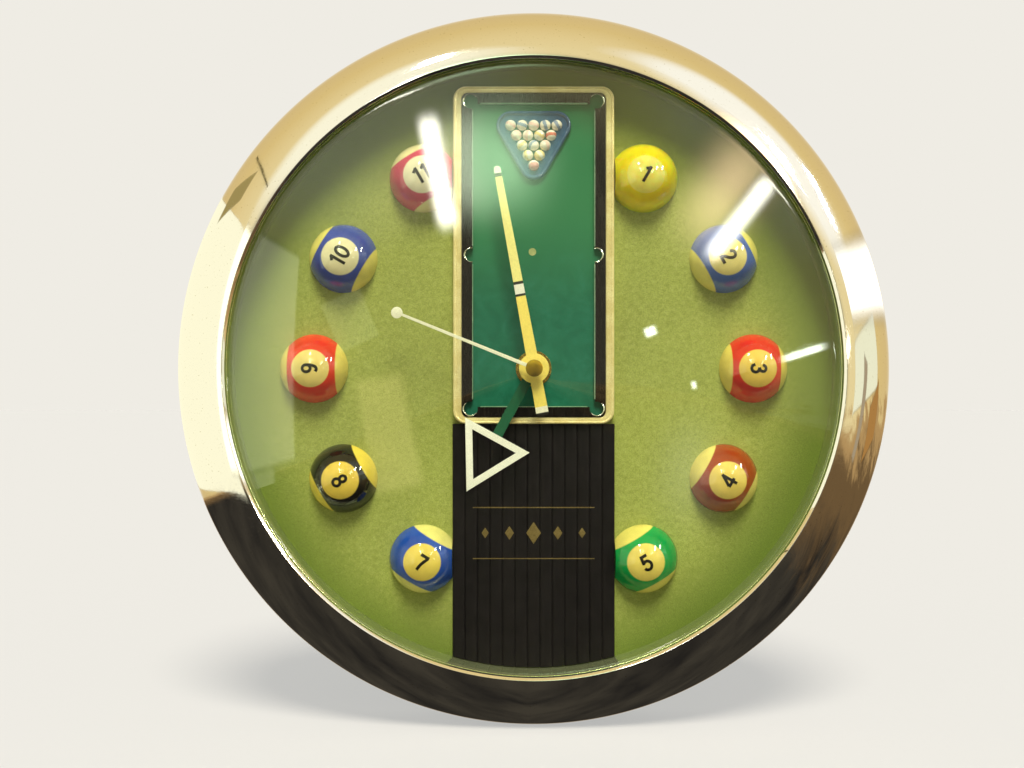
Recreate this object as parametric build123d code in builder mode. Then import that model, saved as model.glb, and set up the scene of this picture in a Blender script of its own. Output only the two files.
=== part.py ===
import os
from math import asin, cos, degrees, hypot, radians, sin, sqrt

from build123d import *

# Round wall clock, as it hangs: +Z points to twelve, the dial faces -Y and the wall is the plane y = 0.
# A depth is the distance from the wall towards the viewer. Angles run clockwise from twelve.

# Case
case_radius = 150.0
bezel_width = 23.0
lip_width = 1.4
lip_thickness = 1.2
lip_step = 1.6
lip_step_run = 0.8
shell = 1.8
dome_bend_radius = 30.3
dome_lean_inside = 9.3
dome_lean_outside = 53.3
skirt_draft = 0.8
skirt_depth = 1.5
rib_thickness = 1.4
rib_gap = 0.5
part_gap = 0.4
fit_gap = 0.1

# Rear case
rim_wall = 2.2
rim_height = 18.0
floor_depth = 2.0
floor_thickness = 2.4
ledge_margin = 1.6
ledge_thickness = 2.4
back_rib_count = 8
back_rib_thickness = 1.8
back_rib_height = 4.6
back_rib_inner_radius = 50.0
back_rib_overlap = 1.0
aperture_gap = 2.0
aperture_rim = 2.0
aperture_rim_height = 4.0

# Screws that hold the bezel to the rear case
screw_count = 6
screw_inset = 9.1
screw_radius = 1.3
screw_length = 11.0
screw_head_radius = 2.8
screw_head_height = 1.8
screw_slot_length = 2.9
screw_slot_width = 0.65
counterbore_depth = 1.2
boss_radius = 3.3
thread_gap = 0.05

# Dial
ledge_depth = 20.5
dial_plate_margin = 5.6
dial_plate_thickness = 2.0
felt_thickness = 1.0
lens_overlap = 3.4
lens_thickness = 2.0
lens_sag = 12.0
lens_flange = 3.9
spacer_height = 10.5
spacer_wall_top = 3.2
spacer_wall_base = 4.4

# Half-ball hour markers
ball_inset = 33.3
ball_radius = 14.75
ball_height = 12.0
ball_hours = (1, 2, 3, 4, 5, 7, 8, 9, 10, 11)

# Relief of the pool table, from its lower to its upper end
table_half_width = 33.8
table_top_gap = 7.7
table_bottom = -23.2
table_corner_radius = 5.4
frame_rim_side = 3.6
frame_rim_end = 2.8
frame_height = 4.0
frame_edge_radius = 1.1
rail_side = 4.4
rail_end = 4.2
rail_height = 2.2
pocket_radius = 3.1
corner_pocket_shift = 0.8
side_pocket_shift = 0.3
bed_thickness = 1.4
bed_gap = 0.05

# Rack with its balls
rack_margin = 6.0
rack_thickness = 1.2
rack_rim = 1.7
rack_rim_height = 0.8
rack_ball_rows = 5
rack_ball_pitch = 4.85
rack_ball_radius = 2.32
rack_ball_height = 2.1
rack_inset = 16.2

# Grooved strip below the table
strip_half_width = 34.1
strip_thickness = 1.2
strip_end_gap = 1.4
groove_pitch = 5.25
groove_width = 0.9
groove_depth = 0.5

# Hands, as they stand at about two minutes to seven
hour_angle = 208.7
minute_angle = 349.5
second_angle = 292.0
hour_hand_depth = 30.5
minute_hand_depth = 35.0
second_hand_depth = 38.2
hand_thickness = 0.5
hour_arm_width = 4.2
hour_hub_radius = 4.6
hour_reach = 58.4
hour_triangle_height = 26.8
hour_triangle_half_width = 15.3
hour_triangle_stroke = 2.9
minute_reach = 84.8
minute_tail = 20.2
minute_tip_width = 2.9
minute_butt_width = 5.2
minute_hub_radius = 6.2
second_reach = 60.7
second_bead_radius = 2.35
second_hub_width = 1.5
second_tip_width = 1.1
second_hub_radius = 2.2
cap_radius = 3.5
cap_height = 1.9
cap_edge = 0.7
cap_tube_radius = 1.1
cap_tube_length = 1.6
press_gap = 0.02

# Movement housing and its mounting
bay_end_room = 2.8
housing_top = 26.4
housing_bottom = -29.6
housing_back = 3.5
housing_front = 19.5
housing_wall = 1.2
housing_corner_radius = 3.0
bushing_radius = 4.0
bushing_end = 28.2
mounting_hole_gap = 0.2
washer_radius = 7.5
washer_thickness = 0.5
nut_across_flats = 10.8
nut_thickness = 2.5
rubber_washer_radius = 9.0
latch_width = 6.0
latch_thickness = 1.0
latch_length = 5.5
latch_barb = 0.7
upper_latch_z = 8.0
lower_latch_z = -3.5
latch_barb_length = 1.5
latch_gap = 0.15
latch_slot_overlap = 0.5
cover_gap = 0.12
board_gap = 0.3

# Battery, a common size with a round button on its plus end
battery_radius = 7.1
battery_body_length = 49.0
battery_button_radius = 2.75
battery_button_length = 1.4
battery_centre_x = -0.6
battery_edge = 0.5
battery_gap = 0.15
bay_wall = 1.0
contact_thickness = 0.4
contact_width = 8.0
contact_gap = 0.1
contact_reach = 2.0

# Wheels and pinions: teeth, module and the depth of each layer
rotor_pinion_teeth = 12
fifth_wheel_teeth = 60
fifth_wheel_module = 0.25
fifth_pinion_teeth = 10
second_wheel_teeth = 60
second_wheel_module = 0.30
second_pinion_teeth = 8
third_wheel_teeth = 60
third_wheel_module = 0.36
third_pinion_teeth = 8
centre_wheel_teeth = 64
centre_wheel_module = 0.34
cannon_pinion_teeth = 12
minute_wheel_teeth = 36
motion_module = 0.50
minute_pinion_teeth = 10
hour_wheel_teeth = 40
hour_wheel_module = 0.48
setting_pinion_teeth = 18

third_bearing = 290.0
minute_wheel_bearing = 70.0
fifth_bearing = 0.0
rotor_bearing = 60.0
knob_bearing = 45.0

tooth_addendum = 0.80
tooth_dedendum = 1.15
tooth_root_share = 0.46
tooth_tip_share = 0.22
wheel_hole_circle_share = 0.60
wheel_hole_share = 0.18

fifth_wheel_layer = 6.6
second_wheel_layer = 8.5
third_wheel_layer = 10.6
centre_wheel_layer = 12.9
cannon_layer = 14.8
hour_wheel_layer = 16.7
thin_wheel = 0.8
wheel_thickness = 1.0
motion_wheel = 1.2

arbor_radius = 0.45
journal_gap = 0.06
journal_depth = 0.6
seconds_arbor_radius = 0.50
minute_pipe_radius = 1.60
minute_pipe_bore = 0.60
hour_pipe_radius = 2.55
hour_pipe_bore = 1.70
hour_pipe_gap = 0.10
hour_pipe_end = 31.6
minute_pipe_end = 36.0
seconds_arbor_end = 38.9
post_radius = 0.70
post_reach = 0.3
end_gap = 0.1
layer_gap = 0.2
pinion_overlap = 0.3
cannon_wall = 0.7
magnet_radius = 2.8
magnet_thickness = 2.0

# Middle plate, stator, coil and circuit board
bridge_layer = 12.0
bridge_thickness = 0.6
bridge_peg_length = 0.9
bridge_hole_gap = 0.3
bridge_pegs = ((-20.0, -7.5), (-18.5, 15.5), (14.0, -9.0), (1.5, 16.0))
bridge_outline = (
    (-22.2, -9.7), (-20.7, 17.7), (11.0, 17.7), (12.2, 14.0), (12.2, 4.0), (16.2, -6.6), (16.2, -11.2),
    (-12.0, -11.2), (-13.0, -8.5), (-16.0, -8.5), (-17.5, -9.7))
pillar_radius = 1.4
peg_radius = 0.7
peg_gap = 0.05
stator_layer = 9.0
stator_thickness = 0.8
stator_gap = 0.5
stator_ring = 1.8
stator_leg = 2.4
stator_bar_rise = 2.0
core_thickness = 1.8
core_height = 2.0
core_z = 22.0
core_inset = 2.0
core_right = -1.5
bobbin_half = 3.1
bobbin_flange = 1.0
bobbin_wall = 0.6
bobbin_end_room = 2.75
winding_radius = 2.9
board_right = -13.4
board_top = 14.0
board_bottom = -11.0
board_layer = 5.3
board_thickness = 0.8
board_peg_inset = 2.2
board_peg_rise = 0.4
chip_radius = 2.6
chip_height = 1.1
chip_z = 4.5
crystal_z = -1.5
crystal_radius = 1.0
crystal_length = 6.0

# Setting knob on the back
knob_radius = 5.5
knob_thickness = 2.2
knob_shaft_radius = 1.2
knob_notches = 24
knob_notch_radius = 0.45
knob_gap = 0.3

# Keyhole hanger
hanger_inset = 28.0
hanger_half_width = 22.0
hanger_half_height = 15.0
hanger_thickness = 1.2
hanger_corner_radius = 3.0
hanger_lift = 3.0
hanger_post_wall = 1.6
keyhole_radius = 4.25
keyhole_slot_radius = 2.25
keyhole_slot_length = 9.0
hanger_room = 3.0
hanger_screw_spacing = 32.0
hanger_screw_length = 6.0
hanger_head_radius = 2.4
hanger_head_height = 0.7

# Places, radii and depths that follow from the sizes above
opening_radius = case_radius - bezel_width
lens_radius = opening_radius + lens_overlap
ledge_radius = lens_radius + ledge_margin
dial_plate_radius = lens_radius + dial_plate_margin
screw_circle_radius = case_radius - screw_inset
dial_radius = lens_radius - spacer_wall_base
strip_end_radius = dial_radius - strip_end_gap
ball_circle_radius = dial_radius - ball_inset
table_top = dial_radius - table_top_gap
rack_first_row = table_top - rack_inset
hanger_centre = ledge_radius - hanger_inset
housing_half_width = (battery_body_length + battery_button_length) / 2 + bay_end_room
core_left = core_inset - housing_half_width
core_length = core_right - core_left
bobbin_length = core_length - 2 * bobbin_end_room
felt_back = ledge_depth + dial_plate_thickness
felt_front = felt_back + felt_thickness
lens_seat = felt_front + spacer_height
lip_back = lens_seat + lens_thickness
lip_front = lip_back + lip_thickness
bed_front = felt_front + bed_thickness
floor_front = floor_depth + floor_thickness
mounting_hole_radius = bushing_radius + mounting_hole_gap
housing_centre_z = (housing_top + housing_bottom) / 2
housing_height = housing_top - housing_bottom
cover_front = housing_back + housing_wall
front_wall_back = housing_front - housing_wall


def layer(depth):
    # the dial plane moved to a depth, with its normal towards the viewer
    return Plane.XZ.offset(depth)


def section(x=0.0, z=0.0):
    # a plane through an arbor: across is the radius and up is the depth
    return Plane(origin=(x, 0, z), x_dir=(1, 0, 0), z_dir=(0, 0, -1))


def spindle(x=0.0, z=0.0):
    return Axis((x, 0, z), (0, 1, 0))


def polar(angle, radius, centre=(0.0, 0.0)):
    return (centre[0] + radius * sin(radians(angle)), centre[1] + radius * cos(radians(angle)))


def centre_distance(teeth_a, teeth_b, module):
    return (teeth_a + teeth_b) * module / 2


def tooth_outline(teeth, module, turn=0.0):
    # straight-flanked teeth with a clear root, the first one pointing along turn
    pitch_radius = teeth * module / 2
    tip = pitch_radius + tooth_addendum * module
    root = pitch_radius - tooth_dedendum * module
    step = 360 / teeth
    points = []
    for tooth in range(teeth):
        middle = turn + tooth * step
        points.append(polar(middle - tooth_root_share * step / 2, root))
        points.append(polar(middle - tooth_tip_share * step / 2, tip))
        points.append(polar(middle + tooth_tip_share * step / 2, tip))
        points.append(polar(middle + tooth_root_share * step / 2, root))
    return points


def spoke_holes(teeth, module, count):
    # the round holes that lighten a wheel
    with PolarLocations(wheel_hole_circle_share * teeth * module / 2, count):
        Circle(wheel_hole_share * teeth * module / 2, mode=Mode.SUBTRACT)


def mesh_turn(turn_a, teeth_a, bearing, teeth_b):
    # how wheel B stands when a tooth of A meets a gap of B on the line between them
    place_a = (bearing - turn_a) * teeth_a / 360
    return bearing + 180 - (0.5 - place_a) * 360 / teeth_b


# Where the arbors stand
third_place = polar(third_bearing, centre_distance(third_pinion_teeth, centre_wheel_teeth, centre_wheel_module))
minute_wheel_place = polar(
    minute_wheel_bearing, centre_distance(cannon_pinion_teeth, minute_wheel_teeth, motion_module))
fifth_place = polar(fifth_bearing, centre_distance(fifth_pinion_teeth, second_wheel_teeth, second_wheel_module))
rotor_place = polar(
    rotor_bearing, centre_distance(rotor_pinion_teeth, fifth_wheel_teeth, fifth_wheel_module), fifth_place)
knob_place = polar(
    knob_bearing, centre_distance(setting_pinion_teeth, minute_wheel_teeth, motion_module), minute_wheel_place)

# How each toothed rim stands, so that the whole train is in mesh
centre_wheel_turn = 0.0
cannon_turn = 0.0
third_pinion_turn = mesh_turn(centre_wheel_turn, centre_wheel_teeth, third_bearing, third_pinion_teeth)
third_wheel_turn = 0.0
second_pinion_turn = mesh_turn(third_wheel_turn, third_wheel_teeth, third_bearing + 180, second_pinion_teeth)
second_wheel_turn = 0.0
fifth_pinion_turn = mesh_turn(second_wheel_turn, second_wheel_teeth, fifth_bearing, fifth_pinion_teeth)
fifth_wheel_turn = 0.0
rotor_pinion_turn = mesh_turn(fifth_wheel_turn, fifth_wheel_teeth, rotor_bearing, rotor_pinion_teeth)
minute_wheel_turn = mesh_turn(cannon_turn, cannon_pinion_teeth, minute_wheel_bearing, minute_wheel_teeth)
minute_pinion_turn = 0.0
hour_wheel_turn = mesh_turn(
    minute_pinion_turn, minute_pinion_teeth, minute_wheel_bearing + 180, hour_wheel_teeth)
setting_pinion_turn = mesh_turn(minute_wheel_turn, minute_wheel_teeth, knob_bearing, setting_pinion_teeth)

finished = []


def finish(piece, name):
    piece.part.label = name
    finished.append(piece.part)


# Lens: a spherical shell on a flat flange
lens_dome_radius = lens_radius - lens_flange
lens_inner_radius = (lens_dome_radius ** 2 + lens_sag ** 2) / (2 * lens_sag)
lens_centre = lens_seat + lens_sag - lens_inner_radius
lens_outer_radius = lens_inner_radius + lens_thickness
lens_outer_rim = sqrt(lens_outer_radius ** 2 - (lip_back - lens_centre) ** 2)
lens_inner_lean = degrees(asin(lens_dome_radius / lens_inner_radius))
lens_outer_lean = degrees(asin(lens_outer_rim / lens_outer_radius))
with BuildPart() as lens:
    with BuildSketch(section()):
        with BuildLine():
            inner = CenterArc((0, lens_centre), lens_inner_radius, 90, -lens_inner_lean)
            Polyline(inner @ 1, (lens_radius, lens_seat), (lens_radius, lip_back), (lens_outer_rim, lip_back))
            outer = CenterArc((0, lens_centre), lens_outer_radius, 90 - lens_outer_lean, lens_outer_lean)
            Line(outer @ 1, inner @ 0)
        make_face()
    revolve(axis=spindle())
finish(lens, "lens")

# Bezel: a broad dome between the thin inner lip and the skirt
dome_start = (opening_radius + lip_width + lip_step_run, lip_front + lip_step)
dome_centre = (
    dome_start[0] - dome_bend_radius * sin(radians(dome_lean_inside)),
    dome_start[1] - dome_bend_radius * cos(radians(dome_lean_inside)),
)
dome_end_radius = dome_centre[0] + dome_bend_radius * sin(radians(dome_lean_outside))
shoulder_radius = (case_radius - dome_end_radius) / (1 - sin(radians(dome_lean_outside)))
shoulder_centre = (
    case_radius - shoulder_radius,
    dome_centre[1] + (dome_bend_radius - shoulder_radius) * cos(radians(dome_lean_outside)),
)
rib_inner = lens_radius + part_gap
rib_outer = rib_inner + rib_thickness
inner_bend_radius = dome_bend_radius - shell
inner_lean_start = degrees(asin((rib_outer - dome_centre[0]) / inner_bend_radius))
skirt_radius = case_radius - skirt_draft
with BuildPart() as bezel_bosses:
    with BuildSketch(layer(floor_front)):
        with PolarLocations(screw_circle_radius, screw_count, start_angle=360 / screw_count / 2):
            Circle(boss_radius)
    extrude(amount=dome_start[1] - floor_front)
    with BuildSketch(section()):
        with Locations(dome_centre):
            Circle(dome_bend_radius - shell / 2)
    revolve(axis=spindle(), mode=Mode.INTERSECT)

with BuildPart() as bezel:
    with BuildSketch(section()):
        with BuildLine():
            Polyline(
                (rib_inner, lip_back), (opening_radius, lip_back), (opening_radius, lip_front),
                (opening_radius + lip_width, lip_front), dome_start)
            CenterArc(
                dome_centre, dome_bend_radius, 90 - dome_lean_inside, dome_lean_inside - dome_lean_outside)
            shoulder = CenterArc(
                shoulder_centre, shoulder_radius, 90 - dome_lean_outside, dome_lean_outside - 90)
            inner_shoulder = CenterArc(
                shoulder_centre, shoulder_radius - shell, 0, 90 - dome_lean_outside)
            Polyline(
                shoulder @ 1, (skirt_radius, skirt_depth), (skirt_radius - shell, skirt_depth),
                inner_shoulder @ 0)
            inner_dome = CenterArc(
                dome_centre, inner_bend_radius, 90 - dome_lean_outside, dome_lean_outside - inner_lean_start)
            Polyline(
                inner_dome @ 1, (rib_outer, felt_back + rib_gap), (rib_inner, felt_back + rib_gap),
                (rib_inner, lip_back))
        make_face()
    revolve(axis=spindle())
    add(bezel_bosses.part)
    with BuildSketch(layer(floor_front)):
        with PolarLocations(screw_circle_radius, screw_count, start_angle=360 / screw_count / 2):
            Circle(screw_radius + thread_gap)
    extrude(amount=screw_length, mode=Mode.SUBTRACT)
finish(bezel, "bezel")

# Spacer ring: the conical wall that holds the glass off the felt
with BuildPart() as spacer_ring:
    with BuildSketch(section()):
        Polygon(
            (dial_radius, felt_front), (lens_radius, felt_front),
            (lens_radius, lens_seat), (lens_radius - spacer_wall_top, lens_seat), align=None)
    revolve(axis=spindle())
finish(spacer_ring, "spacer_ring")

# Dial plate and its felt
with BuildPart() as dial_plate:
    with BuildSketch(layer(ledge_depth)):
        Circle(dial_plate_radius)
        Circle(mounting_hole_radius, mode=Mode.SUBTRACT)
    extrude(amount=dial_plate_thickness)
finish(dial_plate, "dial_plate")

with BuildPart() as dial_felt:
    with BuildSketch(layer(felt_back)):
        Circle(lens_radius)
        Circle(mounting_hole_radius, mode=Mode.SUBTRACT)
    extrude(amount=felt_thickness)
finish(dial_felt, "dial_felt")

# Rear case: a pan with a rim on the wall, a ledge for the dial plate and a window for the movement
rear_radius = skirt_radius - shell - part_gap
rear_inner_radius = rear_radius - rim_wall
aperture_half = housing_half_width + aperture_gap
hanger_post_radius = screw_radius + hanger_post_wall
with BuildPart() as rear_case:
    with BuildSketch(layer(floor_depth)):
        Circle(rear_radius)
    extrude(amount=floor_thickness)
    with BuildSketch(layer(0)):
        Circle(rear_radius)
        Circle(rear_inner_radius, mode=Mode.SUBTRACT)
    extrude(amount=rim_height)
    with BuildSketch(layer(floor_front)):
        Circle(ledge_radius + ledge_thickness)
        Circle(ledge_radius, mode=Mode.SUBTRACT)
    extrude(amount=ledge_depth - floor_front)
    with BuildSketch(layer(floor_front)):
        with PolarLocations(
                (ledge_radius + back_rib_inner_radius) / 2, back_rib_count, start_angle=180 / back_rib_count):
            Rectangle(ledge_radius - back_rib_inner_radius + back_rib_overlap, back_rib_thickness)
    extrude(amount=back_rib_height)
    with BuildSketch(layer(floor_front)):
        with Locations((0, housing_centre_z)):
            RectangleRounded(
                2 * (aperture_half + aperture_rim), housing_height + 2 * (aperture_gap + aperture_rim),
                housing_corner_radius + aperture_gap + aperture_rim)
    extrude(amount=aperture_rim_height)
    with BuildSketch(layer(0)):
        with Locations((0, housing_centre_z)):
            RectangleRounded(
                2 * aperture_half, housing_height + 2 * aperture_gap, housing_corner_radius + aperture_gap)
    extrude(amount=ledge_depth, mode=Mode.SUBTRACT)
    with BuildSketch(layer(floor_front)):
        with Locations((-hanger_screw_spacing / 2, hanger_centre), (hanger_screw_spacing / 2, hanger_centre)):
            Circle(hanger_post_radius)
    extrude(amount=hanger_screw_length)
    with BuildSketch(layer(floor_depth)):
        with Locations((-hanger_screw_spacing / 2, hanger_centre), (hanger_screw_spacing / 2, hanger_centre)):
            Circle(screw_radius + thread_gap)
        with Locations((0, hanger_centre + keyhole_slot_length / 2)):
            SlotOverall(
                2 * (keyhole_radius + hanger_room) + keyhole_slot_length, 2 * (keyhole_radius + hanger_room),
                rotation=90)
        with PolarLocations(screw_circle_radius, screw_count, start_angle=360 / screw_count / 2):
            Circle(screw_radius + fit_gap)
    extrude(amount=floor_thickness + hanger_screw_length, mode=Mode.SUBTRACT)
    with BuildSketch(layer(floor_depth)):
        with PolarLocations(screw_circle_radius, screw_count, start_angle=360 / screw_count / 2):
            Circle(screw_head_radius + fit_gap)
    extrude(amount=counterbore_depth, mode=Mode.SUBTRACT)
finish(rear_case, "rear_case")

# Case screws, driven from behind into the bosses of the bezel
head_seat = floor_depth + counterbore_depth
with BuildPart() as case_screws:
    with BuildSketch(layer(head_seat - screw_head_height)):
        with PolarLocations(screw_circle_radius, screw_count, start_angle=360 / screw_count / 2):
            Circle(screw_head_radius)
    extrude(amount=screw_head_height)
    with BuildSketch(layer(head_seat)):
        with PolarLocations(screw_circle_radius, screw_count, start_angle=360 / screw_count / 2):
            Circle(screw_radius)
    extrude(amount=screw_length)
    with BuildSketch(layer(head_seat - screw_head_height)):
        with PolarLocations(screw_circle_radius, screw_count, start_angle=360 / screw_count / 2):
            Rectangle(screw_slot_length, screw_slot_width)
            Rectangle(screw_slot_width, screw_slot_length)
    extrude(amount=screw_head_height / 2, mode=Mode.SUBTRACT)
finish(case_screws, "case_screws")

# Hanger plate with its keyhole, and the two screws that hold it
with BuildPart() as hanger_plate:
    with BuildSketch(layer(floor_depth - hanger_thickness)):
        with Locations((0, hanger_centre + hanger_lift)):
            RectangleRounded(2 * hanger_half_width, 2 * hanger_half_height, hanger_corner_radius)
        with Locations((0, hanger_centre)):
            Circle(keyhole_radius, mode=Mode.SUBTRACT)
        with Locations((0, hanger_centre + keyhole_slot_length / 2)):
            SlotCenterToCenter(
                keyhole_slot_length, 2 * keyhole_slot_radius, rotation=90, mode=Mode.SUBTRACT)
        with Locations((-hanger_screw_spacing / 2, hanger_centre), (hanger_screw_spacing / 2, hanger_centre)):
            Circle(screw_radius + fit_gap, mode=Mode.SUBTRACT)
    extrude(amount=hanger_thickness)
finish(hanger_plate, "hanger_plate")

hanger_head_back = floor_depth - hanger_thickness - hanger_head_height
with BuildPart() as hanger_screws:
    with BuildSketch(layer(hanger_head_back)):
        with Locations((-hanger_screw_spacing / 2, hanger_centre), (hanger_screw_spacing / 2, hanger_centre)):
            Circle(hanger_head_radius)
    extrude(amount=hanger_head_height)
    with BuildSketch(layer(hanger_head_back)):
        with Locations((-hanger_screw_spacing / 2, hanger_centre), (hanger_screw_spacing / 2, hanger_centre)):
            Circle(screw_radius)
    extrude(amount=hanger_head_height + hanger_thickness + hanger_screw_length)
finish(hanger_screws, "hanger_screws")

# Half-ball hour markers on the felt, cut flat where they meet the table or the strip
ball_base_radius = sqrt(ball_radius ** 2 - (ball_radius - ball_height) ** 2)
for hour in ball_hours:
    ball_x, ball_z = polar(hour * 30, ball_circle_radius)
    with BuildPart() as ball:
        with BuildSketch(section(ball_x, ball_z)):
            with BuildLine():
                cap = CenterArc(
                    (0, felt_front + ball_height - ball_radius), ball_radius, 90,
                    -degrees(asin(ball_base_radius / ball_radius)))
                Polyline(cap @ 1, (0, felt_front), cap @ 0)
            make_face()
        revolve(axis=spindle(ball_x, ball_z))
        with BuildSketch(layer(felt_front)):
            Rectangle(2 * (max(table_half_width, strip_half_width) + fit_gap), 2 * ball_circle_radius)
        extrude(amount=ball_height, mode=Mode.SUBTRACT)
    finish(ball, f"ball_{hour:02d}")

# Relief of the table: rim, cloth panel and rails
table_height = table_top - table_bottom
table_middle = (table_top + table_bottom) / 2
inner_half_width = table_half_width - frame_rim_side
inner_height = table_height - 2 * frame_rim_end
inner_corner_radius = table_corner_radius - frame_rim_end
with BuildPart() as table_frame:
    with BuildSketch(layer(felt_front)):
        with Locations((0, table_middle)):
            RectangleRounded(2 * table_half_width, table_height, table_corner_radius)
            RectangleRounded(2 * inner_half_width, inner_height, inner_corner_radius, mode=Mode.SUBTRACT)
    extrude(amount=frame_height)
    fillet(table_frame.faces().sort_by(Axis.Y)[0].edges(), frame_edge_radius)
finish(table_frame, "table_frame")

bed_half_width = inner_half_width - bed_gap
bed_height = inner_height - 2 * bed_gap
with BuildPart() as table_bed:
    with BuildSketch(layer(felt_front)):
        with Locations((0, table_middle)):
            RectangleRounded(2 * bed_half_width, bed_height, inner_corner_radius - bed_gap)
        Circle(mounting_hole_radius, mode=Mode.SUBTRACT)
    extrude(amount=bed_thickness)
finish(table_bed, "table_bed")

cloth_half_width = bed_half_width - rail_side
cloth_half_height = bed_height / 2 - rail_end
corner_x = cloth_half_width + corner_pocket_shift
corner_z = cloth_half_height + corner_pocket_shift
with BuildPart() as table_rails:
    with BuildSketch(layer(bed_front)):
        with Locations((0, table_middle)):
            RectangleRounded(2 * bed_half_width, bed_height, inner_corner_radius - bed_gap)
            Rectangle(2 * cloth_half_width, 2 * cloth_half_height, mode=Mode.SUBTRACT)
            with GridLocations(2 * corner_x, 2 * corner_z, 2, 2):
                Circle(pocket_radius, mode=Mode.SUBTRACT)
            with GridLocations(2 * (cloth_half_width + side_pocket_shift), 0, 2, 1):
                Circle(pocket_radius, mode=Mode.SUBTRACT)
    extrude(amount=rail_height)
finish(table_rails, "table_rails")

# Rack and its fifteen balls
row_step = rack_ball_pitch * sqrt(3) / 2
rack_row_half = (rack_ball_rows - 1) * rack_ball_pitch / 2
rack_corners = (
    (-rack_row_half, rack_first_row), (rack_row_half, rack_first_row),
    (0, rack_first_row - (rack_ball_rows - 1) * row_step))
rack_front = bed_front + rack_thickness
with BuildPart() as rack_triangle:
    with BuildSketch(layer(bed_front)):
        Polygon(*rack_corners, align=None)
        offset(amount=rack_margin, kind=Kind.ARC, mode=Mode.REPLACE)
    extrude(amount=rack_thickness + rack_rim_height)
    with BuildSketch(layer(rack_front)):
        Polygon(*rack_corners, align=None)
        offset(amount=rack_margin - rack_rim, kind=Kind.ARC, mode=Mode.REPLACE)
    extrude(amount=rack_rim_height, mode=Mode.SUBTRACT)
finish(rack_triangle, "rack_triangle")

rack_ball_base = sqrt(rack_ball_radius ** 2 - (rack_ball_radius - rack_ball_height) ** 2)
with BuildPart() as rack_balls:
    for row in range(rack_ball_rows):
        for place in range(rack_ball_rows - row):
            small_x = (place - (rack_ball_rows - row - 1) / 2) * rack_ball_pitch
            small_z = rack_first_row - row * row_step
            with BuildSketch(section(small_x, small_z)):
                with BuildLine():
                    cap = CenterArc(
                        (0, rack_front + rack_ball_height - rack_ball_radius), rack_ball_radius, 90,
                        -degrees(asin(rack_ball_base / rack_ball_radius)))
                    Polyline(cap @ 1, (0, rack_front), cap @ 0)
                make_face()
            revolve(axis=spindle(small_x, small_z))
finish(rack_balls, "rack_balls")

# Grooved strip from the table down to the edge of the dial
with BuildPart() as lower_panel:
    with BuildSketch(layer(felt_front)):
        Circle(strip_end_radius)
        with Locations((0, table_bottom - fit_gap - strip_end_radius / 2)):
            Rectangle(2 * strip_half_width, strip_end_radius, mode=Mode.INTERSECT)
    extrude(amount=strip_thickness)
    groove_count = int(2 * strip_half_width / groove_pitch)
    with BuildSketch(layer(felt_front + strip_thickness - groove_depth)):
        with Locations((0, -strip_end_radius / 2)):
            with GridLocations(groove_pitch, 0, groove_count, 1):
                Rectangle(groove_width, 2 * strip_end_radius)
    extrude(amount=groove_depth, mode=Mode.SUBTRACT)
finish(lower_panel, "lower_panel")

# Hands
def hand_plane(depth, angle):
    # across the hand is X and along the hand is Y, turned clockwise from twelve
    across = (cos(radians(angle)), 0, -sin(radians(angle)))
    return Plane(origin=(0, -depth, 0), x_dir=across, z_dir=(0, -1, 0))


triangle_base = hour_reach - hour_triangle_height
with BuildPart() as hour_hand:
    with BuildSketch(hand_plane(hour_hand_depth, hour_angle)):
        Circle(hour_hub_radius)
        with Locations((0, triangle_base / 2)):
            Rectangle(hour_arm_width, triangle_base + hour_triangle_stroke)
        Polygon(
            (-hour_triangle_half_width, triangle_base), (hour_triangle_half_width, triangle_base),
            (0, hour_reach), align=None)
        slant = hypot(hour_triangle_half_width, hour_triangle_height)
        inner_half = hour_triangle_half_width - hour_triangle_stroke * (
            hour_triangle_half_width + slant) / hour_triangle_height
        inner_apex = hour_reach - hour_triangle_stroke * slant / hour_triangle_half_width
        Polygon(
            (-inner_half, triangle_base + hour_triangle_stroke),
            (inner_half, triangle_base + hour_triangle_stroke),
            (0, inner_apex), align=None, mode=Mode.SUBTRACT)
        Circle(hour_pipe_radius + press_gap, mode=Mode.SUBTRACT)
    extrude(amount=hand_thickness)
finish(hour_hand, "hour_hand")

with BuildPart() as minute_hand:
    with BuildSketch(hand_plane(minute_hand_depth, minute_angle)):
        with BuildLine():
            tip_left = (-minute_tip_width / 2, minute_reach - minute_tip_width / 2)
            tip_right = (minute_tip_width / 2, minute_reach - minute_tip_width / 2)
            butt_left = (-minute_butt_width / 2, -minute_tail + minute_butt_width / 4)
            butt_right = (minute_butt_width / 2, -minute_tail + minute_butt_width / 4)
            Line(butt_left, tip_left)
            ThreePointArc(tip_left, (0, minute_reach), tip_right)
            Line(tip_right, butt_right)
            ThreePointArc(butt_right, (0, -minute_tail), butt_left)
        make_face()
        Circle(minute_hub_radius)
        Circle(minute_pipe_radius + press_gap, mode=Mode.SUBTRACT)
    extrude(amount=hand_thickness)
finish(minute_hand, "minute_hand")

with BuildPart() as second_hand:
    with BuildSketch(hand_plane(second_hand_depth, second_angle)):
        Polygon(
            (-second_hub_width / 2, 0), (second_hub_width / 2, 0),
            (second_tip_width / 2, second_reach), (-second_tip_width / 2, second_reach), align=None)
        Circle(second_hub_radius)
        with Locations((0, second_reach)):
            Circle(second_bead_radius)
        Circle(cap_tube_radius + press_gap, mode=Mode.SUBTRACT)
    extrude(amount=hand_thickness)
finish(second_hand, "second_hand")

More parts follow.
